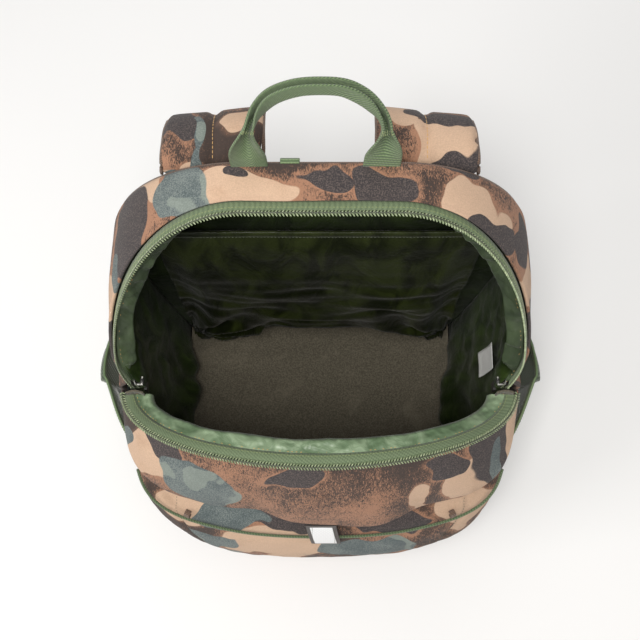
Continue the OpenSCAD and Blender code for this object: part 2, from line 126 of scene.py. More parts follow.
class Shade:
    # one material: fixed values go straight to the shader's own sockets
    def __init__(self, name, roughness=0.8, fixed=None, onFrame=False):
        self.material = bpy.data.materials.new(name)
        self.material.use_nodes = True
        self.tree = self.material.node_tree
        self.surface = self.tree.nodes["Principled BSDF"]
        self.feed("Roughness", roughness)
        for socket, value in (fixed or {}).items():
            self.feed(socket, value)
        if onFrame:  # a carried-over part has no attribute of its own
            self.place = self.node("ShaderNodeTexCoord", outlet="Object")
        else:
            self.place = self.node("ShaderNodeAttribute", {"attribute_name": "restPlace"}, outlet="Vector")

    def link(self, socket, value):
        if isinstance(value, Wire):
            self.tree.links.new(value.socket, socket)
        elif socket.type == "RGBA":
            socket.default_value = (*value[:3], 1)
        else:
            socket.default_value = value

    def feed(self, socket, value):
        self.link(self.surface.inputs[socket], value)

    def node(self, kind, settings=None, values=None, outlet=0):
        made = self.tree.nodes.new(kind)
        for key, value in (settings or {}).items():
            setattr(made, key, value)
        for key, value in (values or {}).items():
            self.link(made.inputs[key], value)
        return Wire(self, made.outputs[outlet])

    def math(self, operation, *values):
        return self.node("ShaderNodeMath", {"operation": operation}, dict(enumerate(values)))

    def vector(self, operation, *values):
        outlet = 1 if operation in ("LENGTH", "DOT_PRODUCT", "DISTANCE") else 0
        return self.node("ShaderNodeVectorMath", {"operation": operation}, dict(enumerate(values)), outlet)

    def tint(self, under, over, share, kind="MIX"):
        settings = {"data_type": "RGBA", "blend_type": kind}
        return self.node("ShaderNodeMix", settings, {0: share, 6: under, 7: over}, 2)

    def band(self, value, low, high):  # 0 below low, 1 above high, smooth between
        settings = {"interpolation_type": "SMOOTHSTEP"}
        return self.node("ShaderNodeMapRange", settings, {"Value": value, "From Min": low, "From Max": high})

    def grain(self, scale, detail=2.0, rough=0.5, at=None, warp=0.0):
        values = {"Vector": at or self.place, "Scale": scale, "Detail": detail, "Roughness": rough}
        return self.node("ShaderNodeTexNoise", None, {**values, "Distortion": warp})

    def stretched(self, across, along, up):
        return self.vector("MULTIPLY", self.place, (across, along, up))

    def axes(self, source):
        split = self.tree.nodes.new("ShaderNodeSeparateXYZ")
        self.link(split.inputs[0], source)
        return [Wire(self, outlet) for outlet in split.outputs]

    def cloth(self):  # metres along and across the cloth
        return self.axes(self.node("ShaderNodeUVMap", {"uv_map": "cloth"}))

    def ripple(self, value, pitch):  # 0 to 1 and back once each pitch
        return self.math("SINE", value * (2 * math.pi / pitch)) * 0.5 + 0.5

    def bump(self, height, depth, strength=1.0):  # depth in metres
        self.feed("Normal", self.node("ShaderNodeBump", None, {
            "Height": height, "Distance": depth, "Strength": strength}))

    def weave(self, pitch):
        x, y, z = self.axes(self.place)
        return self.ripple(x, pitch) * self.ripple(y + z, pitch)


camoColours = {
    "tan": (0.585, 0.405, 0.285),
    "tanShade": (0.50, 0.33, 0.225),
    "orange": (0.36, 0.19, 0.118),
    "hair": (0.058, 0.041, 0.035),
    "charcoal": (0.048, 0.041, 0.043),
    "charcoalLight": (0.15, 0.118, 0.105),
    "slate": (0.085, 0.108, 0.112),
    "slateLight": (0.195, 0.225, 0.215),
    "slatePale": (0.27, 0.31, 0.27),
}

# centres and half sizes of the printed patches, in metres; adapted from the printout of a scratch
# ray caster, so they aren't worked out from the body below
camoPatches = {
    "tan": [
        ((-0.137, -0.090, 0.214), (0.018, 0.022, 0.032)), ((0.153, -0.068, 0.215), (0.011, 0.022, 0.036)),
        ((0.113, -0.105, 0.222), (0.010, 0.014, 0.024)), ((0.128, -0.108, 0.211), (0.014, 0.012, 0.012)),
        ((0.080, -0.118, 0.211), (0.011, 0.012, 0.020)), ((-0.112, -0.122, 0.160), (0.018, 0.014, 0.017)),
        ((-0.038, -0.150, 0.132), (0.044, 0.016, 0.024)), ((0.132, -0.115, 0.152), (0.026, 0.022, 0.032)),
        ((-0.112, 0.076, 0.382), (0.018, 0.012, 0.013)), ((-0.051, 0.064, 0.406), (0.022, 0.016, 0.030)),
        ((0.102, 0.062, 0.388), (0.024, 0.018, 0.020)), ((-0.151, 0.008, 0.312), (0.020, 0.022, 0.018)),
        ((0.151, 0.022, 0.322), (0.016, 0.018, 0.018)), ((-0.055, 0.122, 0.387), (0.010, 0.012, 0.014)),
        ((0.055, 0.124, 0.384), (0.012, 0.014, 0.014)), ((0.090, 0.104, 0.390), (0.026, 0.014, 0.014)),
        ((-0.090, 0.090, 0.384), (0.020, 0.009, 0.012)),
    ],
    "slate": [
        ((-0.097, -0.108, 0.226), (0.029, 0.022, 0.034)), ((-0.078, -0.131, 0.161), (0.024, 0.012, 0.013)),
        ((-0.090, -0.143, 0.126), (0.018, 0.012, 0.016)), ((0.045, -0.151, 0.126), (0.034, 0.014, 0.020)),
        ((0.135, -0.088, 0.219), (0.007, 0.014, 0.018)), ((-0.088, 0.067, 0.395), (0.022, 0.012, 0.016)),
        ((-0.073, 0.044, 0.402), (0.010, 0.010, 0.010)), ((-0.147, 0.022, 0.335), (0.012, 0.016, 0.008)),
        ((-0.081, 0.110, 0.388), (0.007, 0.018, 0.012)), ((-0.157, -0.066, 0.220), (0.008, 0.013, 0.036)),
    ],
    "charcoal": [
        ((-0.125, -0.080, 0.240), (0.015, 0.016, 0.018)), ((-0.023, -0.108, 0.252), (0.020, 0.010, 0.018)),
        ((0.134, -0.087, 0.225), (0.019, 0.020, 0.026)), ((0.098, -0.100, 0.243), (0.017, 0.010, 0.014)),
        ((-0.045, -0.136, 0.164), (0.032, 0.014, 0.012)), ((0.060, -0.134, 0.166), (0.042, 0.014, 0.014)),
        ((-0.043, 0.077, 0.409), (0.010, 0.008, 0.010)), ((0.001, 0.076, 0.408), (0.018, 0.009, 0.010)),
        ((0.041, 0.067, 0.408), (0.017, 0.015, 0.014)), ((0.119, 0.046, 0.378), (0.012, 0.011, 0.014)),
        ((-0.134, 0.048, 0.358), (0.024, 0.024, 0.028)), ((0.142, 0.052, 0.348), (0.016, 0.018, 0.026)),
        ((-0.156, -0.012, 0.282), (0.012, 0.014, 0.016)), ((0.157, 0.004, 0.288), (0.012, 0.020, 0.022)),
        ((-0.098, 0.114, 0.386), (0.016, 0.020, 0.014)), ((0.088, 0.125, 0.383), (0.025, 0.010, 0.012)),
        ((0.088, 0.089, 0.388), (0.022, 0.009, 0.014)),
    ],
}


def camoMaterial():
    s = Shade("camo", 0.86, {"Sheen Weight": 0.06, "Sheen Roughness": 0.6, "Specular IOR Level": 0.22})
    wander = s.node("ShaderNodeTexNoise", None, {
        "Vector": s.place, "Scale": 21.0, "Detail": 2.0, "Roughness": 0.4}, "Color")
    shift = s.vector("MULTIPLY", s.vector("SUBTRACT", wander, (0.5, 0.5, 0.5)), (0.062, 0.062, 0.062))
    at = s.vector("ADD", s.place, shift)

    def patches(kind, low=1.20, high=1.25):
        total = None
        for centre, size in camoPatches[kind]:
            away = s.vector("LENGTH", s.vector("DIVIDE", s.vector("SUBTRACT", at, centre), size))
            total = away if total is None else s.math("MINIMUM", total, away)
        return 1 - s.band(total, low, high), 1 - s.band(total, 1.25, 1.55)

    def field(offset, scale, low):
        value = s.grain(scale, 2.0, 0.4, s.vector("ADD", at, offset))
        return s.band(value, low, low + 0.01) * elsewhere, s.band(value, low - 0.05, low) * elsewhere

    fine = s.grain(1100.0, 2.0, 0.7)
    x, y, z = s.axes(s.place)
    front = s.band(y * -1, 0.03, 0.045) * s.band(z, 0.10, 0.12)
    elsewhere = 1 - s.math("MAXIMUM", front, s.band(z, 0.27, 0.29))  # where the chance patches go
    fur = s.grain(1.0, 2.0, 0.75, s.stretched(900, 330, 330), 1.6)
    cloud = s.grain(34.0, 4.0, 0.6)
    density = s.grain(13.0, 3.0, 0.6, at)
    tanMask, tanRim = patches("tan")
    slateMask, slateRim = patches("slate")
    darkMask, darkRim = patches("charcoal")
    tanWild = field((0.2, 2.3, 0.7), 10.5, 0.605)
    darkWild = field((3.1, 0.4, 1.2), 9.5, 0.585)
    slateWild = field((1.7, 1.1, 4.2), 9.0, 0.635)
    tanMask, tanRim = s.math("MAXIMUM", tanMask, tanWild[0]), s.math("MAXIMUM", tanRim, tanWild[1])
    darkMask, darkRim = s.math("MAXIMUM", darkMask, darkWild[0]), s.math("MAXIMUM", darkRim, darkWild[1])
    slateMask = s.math("MAXIMUM", slateMask, slateWild[0])
    rim = s.math("MAXIMUM", tanRim, darkRim)
    cut = (density - 0.5) * 1.15 + 0.565 - rim * 0.12
    brown = s.tint(camoColours["hair"], camoColours["orange"], s.band(fur - cut, -0.10, 0.08))
    brown = s.tint(brown, camoColours["orange"], rim * 0.2)
    dark = s.tint(camoColours["charcoal"], camoColours["charcoalLight"], s.band(fine, 0.46, 0.66) * 0.75)
    mottle = s.band(cloud * 0.4 + fine * 0.6, 0.40, 0.62)
    slate = s.tint(camoColours["slate"], camoColours["slateLight"], mottle)
    pale = s.grain(24.0, 2.0, 0.4, s.vector("ADD", at, (5.0, 2.0, 1.0)))
    slate = s.tint(slate, camoColours["slatePale"], s.band(pale, 0.58, 0.6) * 0.6)
    tan = s.tint(camoColours["tan"], camoColours["tanShade"], s.band(cloud, 0.5, 0.75) * 0.8)
    colour = s.tint(brown, tan, tanMask)
    colour = s.tint(colour, dark, darkMask)
    colour = s.tint(colour, slate, slateMask)
    speckle = s.tint((0.90, 0.90, 0.90), (1.08, 1.08, 1.07), s.band(fine, 0.3, 0.7))
    s.feed("Base Color", s.tint(colour, speckle, 1.0, "MULTIPLY"))
    s.feed("Roughness", s.band(cloud, 0.2, 0.8) * 0.12 + 0.78)
    s.bump(s.weave(0.0008) * 0.6 + fine * 0.5 + cloud * 1.5, 0.0007, 0.5)
    return s.material


# the default colours are for the wall lining satin, made far darker than the band satin of the same cloth:
# painted shade for the inside of the bag
def satinMaterial(name="satin", base=(0.009, 0.018, 0.003), light=(0.034, 0.056, 0.012), gloss=0.18):
    s = Shade(name, 0.4, {"Specular IOR Level": gloss, "Sheen Weight": gloss * 0.3, "Sheen Roughness": 0.35})
    folds = s.grain(1.0, 3.0, 0.55, s.stretched(42, 42, 18), 0.8)
    thread = s.ripple(s.axes(s.place)[2], 0.0005)
    # painted highlight and shade: the lighter colour goes on the crests of the same folds that shape the
    # bump, the darker one in their creases
    s.feed("Base Color", s.tint(base, light, s.band(folds + thread * 0.06, 0.38, 0.72)))
    s.feed("Roughness", s.band(s.grain(60.0, 3.0), 0.25, 0.75) * 0.16 + 0.32)
    s.bump(folds * 3 + s.grain(240.0, 2.0) * 0.25 + thread * 0.03, 0.0016, 0.55)
    return s.material


def floorClothMaterial():
    s = Shade("floorCloth", 0.8, {"Sheen Weight": 0.2})
    fine = s.grain(700.0, 3.0, 0.7)
    crease = s.grain(1.0, 3.0, 0.5, s.stretched(16, 16, 16), 1.5)
    colour = s.tint((0.066, 0.056, 0.036), (0.148, 0.129, 0.09), s.band(fine, 0.35, 0.7))
    # painted highlight: the lighter colour goes on the ridges of the same creases that shape the bump
    s.feed("Base Color", s.tint(colour, (0.22, 0.19, 0.135), s.band(crease, 0.5, 0.8) * 0.4))
    s.bump(s.weave(0.0011) + crease * 2 + fine * 0.4, 0.0008, 0.5)
    return s.material


def webbingMaterial(name="webbing", base=(0.075, 0.125, 0.055), light=(0.2, 0.275, 0.135), pitch=0.0023):
    s = Shade(name, 0.62, {"Specular IOR Level": 0.35, "Sheen Weight": 0.2})
    u, v, w = s.cloth()
    rib = s.ripple(v, pitch)
    cell = s.ripple(u + s.math("FLOOR", v * (1 / pitch)) * 0.0011, 0.0022)
    height = rib * 0.75 + rib * cell * 0.5
    fuzz = s.grain(1500.0, 2.0, 0.7)
    s.feed("Base Color", s.tint(base, light, s.band(height + fuzz * 0.4, 0.35, 1.15)))
    s.bump(height + fuzz * 0.2, 0.0006, 0.8)
    return s.material


def tapeMaterial():
    s = Shade("zipTape", 0.72, {"Sheen Weight": 0.25})
    u, v, w = s.cloth()
    twill = s.ripple(u + v, 0.0012) * 0.6 + s.ripple(v, 0.0035) * 0.4
    fuzz = s.grain(900.0, 3.0, 0.7)
    worn = s.band(twill + fuzz * 0.5, 0.3, 1.2)
    s.feed("Base Color", s.tint((0.078, 0.115, 0.057), (0.18, 0.238, 0.127), worn))
    s.bump(twill + fuzz * 0.3, 0.0004, 0.7)
    return s.material


def coilMaterial():
    s = Shade("zipCoil", 0.33, {"Specular IOR Level": 0.6, "Coat Weight": 0.3, "Coat Roughness": 0.25})
    worn = s.grain(420.0, 2.0)
    s.feed("Base Color", s.tint((0.187, 0.245, 0.122), (0.374, 0.432, 0.259), s.band(worn, 0.35, 0.7)))
    s.feed("Roughness", worn * 0.25 + 0.22)
    return s.material


def meshMaterial():
    s = Shade("openMesh", 0.6, {"Sheen Weight": 0.2})
    u, v, w = s.cloth()
    lattice = s.ripple(u + v, 0.0034) * s.ripple(u - v, 0.0034)
    thread = s.grain(1300.0, 2.0)
    knit = s.band(lattice + thread * 0.3, 0.2, 0.6)
    s.feed("Base Color", s.tint((0.045, 0.078, 0.035), (0.15, 0.21, 0.10), knit))
    s.feed("Alpha", 1 - s.band(lattice, 0.24, 0.36))
    s.bump(lattice * -1 + thread * 0.2, 0.0006, 0.8)
    return s.material


def airMeshMaterial():
    s = Shade("airMesh", 0.85, {"Sheen Weight": 0.3})
    x, y, z = s.axes(s.place)
    hole = s.ripple(x + z * 0.5, 0.0042) * s.ripple(z, 0.0036)
    fuzz = s.grain(1000.0, 2.0)
    # painted shade: the holes, sunk in by the bump, get the near-black colour
    s.feed("Base Color", s.tint((0.062, 0.085, 0.045), (0.012, 0.014, 0.01), s.band(hole, 0.5, 0.75)))
    s.bump(hole * -1 + fuzz * 0.3, 0.0009, 0.9)
    return s.material


def threadMaterial(name, dark, light):
    s = Shade(name, 0.5, {"Sheen Weight": 0.3})
    s.feed("Base Color", s.tint(dark, light, s.band(s.grain(800.0, 2.0), 0.3, 0.7)))
    s.bump(s.grain(2600.0, 1.0), 0.0002, 0.6)
    return s.material


def cordMaterial():
    s = Shade("braid", 0.55, {"Sheen Weight": 0.2})
    u, v, w = s.cloth()
    braid = s.ripple(u * 1.6 + v, 0.0024) + s.ripple(u * 1.6 - v, 0.0024)
    s.feed("Base Color", s.tint((0.05, 0.085, 0.035), (0.17, 0.24, 0.11), s.band(braid, 0.5, 1.7)))
    s.bump(braid, 0.0004, 0.8)
    return s.material


def plasticMaterial():
    s = Shade("blackPlastic", 0.42, {"Specular IOR Level": 0.5}, True)
    pebble = s.grain(1600.0, 2.0)
    scuff = s.band(s.grain(180.0, 4.0, 0.7), 0.55, 0.75)
    s.feed("Base Color", s.tint((0.022, 0.022, 0.02), (0.07, 0.07, 0.066), scuff * 0.35))
    s.feed("Roughness", scuff * 0.25 + pebble * 0.12 + 0.34)
    s.bump(pebble, 0.00012, 0.5)
    return s.material


def metalMaterial():
    s = Shade("platedZinc", 0.3, {"Metallic": 1.0}, True)
    brushed = s.grain(1.0, 2.0, 0.5, s.stretched(300, 300, 2600))
    s.feed("Base Color", s.tint((0.42, 0.41, 0.38), (0.72, 0.71, 0.68), s.band(brushed, 0.3, 0.7)))
    s.feed("Roughness", brushed * 0.25 + 0.2)
    s.bump(brushed, 0.0001, 0.4)
    return s.material


def reflectiveMaterial():
    s = Shade("reflectiveFilm", 0.35, {"Coat Weight": 0.4, "Coat Roughness": 0.2})
    x, y, z = s.axes(s.place)
    lattice = s.ripple(x + z, 0.003) * s.ripple(x - z, 0.003)
    s.feed("Base Color", s.tint((0.80, 0.81, 0.82), (0.95, 0.96, 0.96), lattice))
    s.feed("Roughness", lattice * 0.2 + 0.3)
    s.bump(lattice, 0.0001, 0.5)
    return s.material


def labelMaterial():
    s = Shade("labelSatin", 0.5, {"Sheen Weight": 0.2})
    thread = s.ripple(s.axes(s.place)[2], 0.0008)
    s.feed("Base Color", s.tint((0.52, 0.52, 0.50), (0.68, 0.68, 0.66), thread * 0.6 + s.grain(90.0) * 0.4))
    s.bump(thread, 0.0002, 0.5)
    return s.material


def studioFloorMaterial():
    s = Shade("studioFloor", 0.9, None, True)
    s.feed("Base Color", s.tint((0.86, 0.86, 0.86), (0.88, 0.88, 0.88), s.grain(3.0)))
    return s.material


camo, satin, floorCloth = camoMaterial(), satinMaterial(), floorClothMaterial()
camoBinding = webbingMaterial("camoBinding", (0.09, 0.055, 0.04), (0.24, 0.15, 0.10), 0.0012)
# shaded copies of the lining satin: the sleeve and rear band colours are darkened as painted shade
sleeveSatinPaintedShade = satinMaterial("sleeveSatinPaintedShade", (0.005, 0.007, 0.0015), (0.026, 0.034, 0.008), 0.16)
rearSatinPaintedShade = satinMaterial("rearSatinPaintedShade", (0.018, 0.030, 0.012), (0.062, 0.090, 0.042), 0.4)
bandSatin = satinMaterial("bandSatin", (0.12, 0.185, 0.10), (0.27, 0.36, 0.225), 0.6)
webbing, zipTape, zipCoil = webbingMaterial(), tapeMaterial(), coilMaterial()
darkWebbing = webbingMaterial("darkWebbing", (0.03, 0.024, 0.022), (0.11, 0.09, 0.08), 0.0012)
openMesh, airMesh, braid = meshMaterial(), airMeshMaterial(), cordMaterial()
goldThread = threadMaterial("goldThread", (0.42, 0.22, 0.06), (0.72, 0.45, 0.16))
greenThread = threadMaterial("greenThread", (0.14, 0.19, 0.07), (0.40, 0.44, 0.19))
darkThread = threadMaterial("darkThread", (0.03, 0.04, 0.02), (0.09, 0.11, 0.06))
blackPlastic, platedZinc = plasticMaterial(), metalMaterial()
film, labelSatin = reflectiveMaterial(), labelMaterial()
print("materials made:", len(bpy.data.materials))


# mesh building; shapes are worked out in millimetres

mm = 0.001


def clamp(t, low=0.0, high=1.0):
    return min(high, max(low, t))


def smooth(t):
    t = clamp(t)
    return t * t * (3 - 2 * t)


def mix(a, b, t):
    return a + (b - a) * t


def wobble(x, y, z, size, seed=0.0):  # -1 to 1, size in the unit of the point
    return noise.noise(Vector((x / size + seed * 13.7, y / size - seed * 5.3, z / size + seed * 3.1)))


def throughPoints(points, t):  # smooth curve through points, t from 0 to 1
    count = len(points) - 1
    i = min(int(t * count), count - 1)
    f = t * count - i
    p0, p1 = points[max(i - 1, 0)], points[i]
    p2, p3 = points[i + 1], points[min(i + 2, count)]
    return 0.5 * (2 * p1 + (p2 - p0) * f + (2 * p0 - 5 * p1 + 4 * p2 - p3) * f * f
                  + (3 * p1 - p0 - 3 * p2 + p3) * f * f * f)


def newPiece(name, points, faces, material, places=None):
    mesh = bpy.data.meshes.new(name)
    mesh.from_pydata([Vector(p) * mm for p in points], [], faces)
    if places:
        layer = mesh.uv_layers.new(name="cloth")
        for loop in mesh.loops:
            layer.data[loop.index].uv = places[loop.vertex_index]
    mesh.materials.append(material)
    obj = bpy.data.objects.new(name, mesh)
    bpy.context.scene.collection.objects.link(obj)
    return obj


def grid(name, rows, material, flip=False, ring=False):
    # a sheet through rows of points; its cloth map is in metres along rows and columns
    count, width = len(rows), len(rows[0])
    points, places = [], []
    downs = [0.0] * width
    for i, row in enumerate(rows):
        along = 0.0
        for j, p in enumerate(row):
            if j:
                along += (Vector(p) - Vector(row[j - 1])).length
            if i:
                downs[j] += (Vector(p) - Vector(rows[i - 1][j])).length
            points.append(Vector(p))
            places.append((along * mm, downs[j] * mm))
    faces = []
    for i in range(count - 1):
        for j in range(width if ring else width - 1):
            k = (j + 1) % width
            face = (i * width + j, i * width + k, (i + 1) * width + k, (i + 1) * width + j)
            faces.append(face[::-1] if flip else face)
    return newPiece(name, points, faces, material, places)


def modify(obj, kind, **settings):
    modifier = obj.modifiers.new(kind.lower(), kind)
    for key, value in settings.items():
        setattr(modifier, key, value)
    return obj


def thicken(obj, thickness, offset=-1.0):
    return modify(obj, "SOLIDIFY", thickness=thickness * mm, offset=offset)


def settle(obj):  # the evaluated shape becomes the mesh
    bpy.context.view_layer.update()
    graph = bpy.context.evaluated_depsgraph_get()
    mesh = bpy.data.meshes.new_from_object(
        obj.evaluated_get(graph), preserve_all_data_layers=True, depsgraph=graph)
    obj.modifiers.clear()
    obj.data = mesh
    return obj


def keepPlaces(obj):  # rest places for patterns that must not slide on bending cloth
    mesh = obj.data
    if "restPlace" in mesh.attributes:
        mesh.attributes.remove(mesh.attributes["restPlace"])
    layer = mesh.attributes.new("restPlace", "FLOAT_VECTOR", "POINT")
    flat = [0.0] * (3 * len(mesh.vertices))
    mesh.vertices.foreach_get("co", flat)
    layer.data.foreach_set("vector", flat)


def finish(obj, body=None, nodes=(), fold=None):
    # fold is (body, body, start, end) in metres for cloth that crosses a joint; only whether it is given is
    # read, and such cloth is baked in place instead of being attached to a body
    if obj.modifiers:
        settle(obj)
    keepPlaces(obj)
    obj.data.shade_smooth()
    if fold:
        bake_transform(obj)
    else:
        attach(obj, body)
    if nodes:
        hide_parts(*nodes)
    return obj


def clothPiece(name, rows, material, wall, body, nodes, fold=None, offset=0, flip=False):
    # a grid given a wall, in mm, and finished
    obj = grid(name, rows, material, flip)
    thicken(obj, wall, offset)
    return finish(obj, body, nodes, fold)


def ringsAlong(path, section, across):
    # rings of a flat section, [sideways, outward], along a path; across is a fixed sideways direction
    rings = []
    for i, p in enumerate(path):
        t = (path[min(i + 1, len(path) - 1)] - path[max(i - 1, 0)]).normalized()
        side = (across(i) if callable(across) else across)
        side = (side - t * side.dot(t)).normalized()
        out = t.cross(side)
        shape = section(i) if callable(section) else section
        rings.append([p + side * a + out * b for a, b in shape])
    return rings


def tubePiece(name, path, section, material, across, caps=True):
    rings = ringsAlong(path, section, across)
    width = len(rings[0])
    obj = grid(name, [ring + [ring[0]] for ring in rings], material)
    mesh = obj.data
    wide = width + 1
    if caps:
        last = (len(rings) - 1) * wide
        faces = [tuple(p.vertices) for p in mesh.polygons]
        faces += [tuple(range(width))[::-1], tuple(last + k for k in range(width))]
        places = [(0, 0)] * len(mesh.vertices)
        for loop in mesh.loops:
            places[loop.vertex_index] = tuple(mesh.uv_layers["cloth"].data[loop.index].uv)
        points = [v.co / mm for v in mesh.vertices]
        bpy.data.objects.remove(obj)
        obj = newPiece(name, points, faces, material, places)
    modify(obj, "WELD", merge_threshold=0.00001)
    return obj


def flatSection(width, thickness, edge=0.5):
    w, t, e = width / 2, thickness / 2, min(edge, thickness / 2)
    return [(-w, -t + e), (-w + e, -t), (-w / 3, -t), (w / 3, -t), (w - e, -t), (w, -t + e), (w, t - e),
            (w - e, t), (w / 3, t), (-w / 3, t), (-w + e, t), (-w, t - e)]


def roundSection(radius, sides):
    return [(radius * math.cos(2 * math.pi * k / sides), radius * math.sin(2 * math.pi * k / sides))
            for k in range(sides)]


def spreadPath(points, count):
    points = [Vector(p) for p in points]
    return [throughPoints(points, i / (count - 1)) for i in range(count)]


# repeats along a path: zip teeth and stitches

def capsule(name, length, width, height, bend=0.0):
    # a short rounded bar along X with a few dozen faces, its ends drawn down by bend
    rings = []
    for i in range(7):
        f = i / 6 * 2 - 1
        size = math.sqrt(max(0.02, 1 - abs(f) ** 3))
        ring = [Vector((f * length / 2, width / 2 * size * math.cos(a), height / 2 * size * math.sin(a)
                        - bend * f * f)) for a in [math.pi * k / 3 for k in range(6)]]
        rings.append(ring)
    points = [p for ring in rings for p in ring]
    faces = [(i * 6 + k, i * 6 + (k + 1) % 6, i * 6 + 6 + (k + 1) % 6, i * 6 + 6 + k)
             for i in range(6) for k in range(6)]
    faces += [tuple(range(6)), tuple(36 + k for k in range(5, -1, -1))]
    obj = newPiece(name, points, [face[::-1] for face in faces], goldThread)
    obj.hide_render = True
    return obj


def repeatTree():
    tree = bpy.data.node_groups.new("repeatAlong", "GeometryNodeTree")
    for name, kind in (("Path", "Geometry"), ("Shape", "Object"), ("Pitch", "Float"), ("Turn", "Float"),
                       ("Jitter", "Float"), ("Finish", "Material")):
        tree.interface.new_socket(name, in_out="INPUT", socket_type="NodeSocket" + kind)
    tree.interface.new_socket("Result", in_out="OUTPUT", socket_type="NodeSocketGeometry")

    def add(kind, **settings):
        node = tree.nodes.new(kind)
        for key, value in settings.items():
            setattr(node, key, value)
        return node

    enter, leave = add("NodeGroupInput"), add("NodeGroupOutput")
    curve, spaced = add("GeometryNodeMeshToCurve"), add("GeometryNodeResampleCurve", mode="LENGTH")
    outward = add("GeometryNodeInputNamedAttribute", data_type="FLOAT_VECTOR")
    outward.inputs["Name"].default_value = "outward"
    tangent, shape = add("GeometryNodeInputTangent"), add("GeometryNodeObjectInfo")
    upright = add("FunctionNodeAlignRotationToVector", axis="Z")
    along = add("FunctionNodeAlignRotationToVector", axis="X", pivot_axis="Z")
    turn, twist = add("ShaderNodeCombineXYZ"), add("FunctionNodeRotateRotation", rotation_space="LOCAL")
    chance = add("FunctionNodeRandomValue", data_type="FLOAT")
    chance.inputs["Seed"].default_value = 7
    less, total = add("ShaderNodeMath", operation="MULTIPLY"), add("ShaderNodeMath", operation="ADD")
    spread = add("ShaderNodeMath", operation="SUBTRACT")
    spread.inputs[1].default_value = 0.5
    place, real = add("GeometryNodeInstanceOnPoints"), add("GeometryNodeRealizeInstances")
    paint = add("GeometryNodeSetMaterial")
    for a, outlet, b, inlet in (
            (enter, "Path", curve, "Mesh"), (curve, "Curve", spaced, "Curve"),
            (enter, "Pitch", spaced, "Length"), (spaced, "Curve", place, "Points"),
            (enter, "Shape", shape, "Object"), (shape, "Geometry", place, "Instance"),
            (outward, "Attribute", upright, "Vector"), (upright, "Rotation", along, "Rotation"),
            (tangent, "Tangent", along, "Vector"), (chance, "Value", spread, 0), (spread, "Value", less, 0),
            (enter, "Jitter", less, 1), (less, "Value", total, 0), (enter, "Turn", total, 1),
            (total, "Value", turn, "Z"), (along, "Rotation", twist, "Rotation"),
            (turn, "Vector", twist, "Rotate By"), (twist, "Rotation", place, "Rotation"),
            (place, "Instances", real, "Geometry"), (real, "Geometry", paint, "Geometry"),
            (enter, "Finish", paint, "Material"), (paint, "Geometry", leave, "Result"),
    ):
        tree.links.new(a.outputs[outlet], b.inputs[inlet])
    return tree


repeatAlong = repeatTree()
shapes = {
    "stitch": capsule("stitchShape", 2.5, 0.55, 0.5, 0.25),
    "fineStitch": capsule("fineStitchShape", 1.7, 0.42, 0.4, 0.2),
    "toothShort": capsule("toothShortShape", 3.1, 1.15, 1.7, 0.2),
}


def repeat(name, path, outward, shape, pitch, material, turn=0.0, jitter=0.0):
    # copies of a shape every pitch along a path, standing up along outward
    mesh = bpy.data.meshes.new(name)
    mesh.from_pydata([Vector(p) * mm for p in path], [(i, i + 1) for i in range(len(path) - 1)], [])
    layer = mesh.attributes.new("outward", "FLOAT_VECTOR", "POINT")
    for i in range(len(path)):
        layer.data[i].vector = Vector(outward[i]).normalized()
    obj = bpy.data.objects.new(name, mesh)
    bpy.context.scene.collection.objects.link(obj)
    modifier = obj.modifiers.new("repeat", "NODES")
    modifier.node_group = repeatAlong
    values = {"Shape": shapes[shape], "Pitch": pitch * mm, "Turn": turn, "Jitter": jitter, "Finish": material}
    for item in repeatAlong.interface.items_tree:
        if item.in_out == "INPUT" and item.name in values:
            modifier[item.identifier] = values[item.name]
    return settle(obj)


def strapWebbing(name, path, width, thickness, body, nodes=(), edge=0.5, across=(1, 0, 0)):
    # a flat green webbing along a path
    obj = tubePiece(name, path, flatSection(width, thickness, edge), webbing, Vector(across))
    return finish(obj, body, nodes)


def surfaceOf(obj):
    return BVHTree.FromPolygons([v.co.copy() for v in obj.data.vertices],
                                [tuple(p.vertices) for p in obj.data.polygons])


def onSurface(tree, points, lift=0.15):
    # points in mm moved to the nearest place on a surface, with the outward directions there
    found, outs = [], []
    for p in points:
        place, normal, index, far = tree.find_nearest(Vector(p) * mm)
        found.append(place / mm + normal * lift)
        outs.append(normal)
    return found, outs


def sewOn(name, obj, points, material=None, shape="stitch", pitch=3.6, jitter=0.12):
    place, outs = onSurface(surfaceOf(obj), points)
    return repeat(name, place, outs, shape, pitch, material or goldThread, 0.0, jitter)


# outline of the body, in mm, as the frame has it

body = {
    "height": 405, "baseHalf": 135, "wideHalf": 157, "wideZ": 262, "topHalf": 52,
    "backY": 84, "wallBackY": 76, "sideFrontY": -33, "crestY": 51, "endY": -39, "endZ": 236,
    "rimHalf": 160, "rimReach": 69, "rimZ": 264, "rimDrop": 44, "squareness": 2.7,
}


def halfWidth(z):
    if z <= body["wideZ"]:
        return mix(body["baseHalf"], body["wideHalf"], math.sin(math.pi / 2 * max(z, 0) / body["wideZ"]))
    share = (z - body["wideZ"]) / (body["height"] - body["wideZ"])
    return body["topHalf"] + (body["wideHalf"] - body["topHalf"]) * math.sqrt(max(0.0, 1 - share * share))


def rimY(z):
    slope = (body["crestY"] - body["endY"]) / (body["height"] - body["endZ"])
    return body["crestY"] - (body["height"] - z) * slope


def rimIn(z):
    return 14 * ((275 - z) / 39) ** 2 if z < 275 else 0.0


def signedPower(value, power):
    return math.copysign(abs(value) ** power, value)


def planPoint(angle, half, reach, y0, z, square=2.7):
    a, power = math.radians(angle), 2 / square
    return Vector((half * signedPower(math.cos(a), power), y0 - reach * abs(math.sin(a)) ** power, z))


def frontReach(z):
    return 65 + (28 * math.sin(math.pi / 2 * z / 190) if z <= 190 else 28 - 8 * ((z - 190) / 35) ** 2)


def rimHeight(angle):
    return body["rimZ"] - body["rimDrop"] * abs(math.cos(math.radians(angle))) ** 2.7


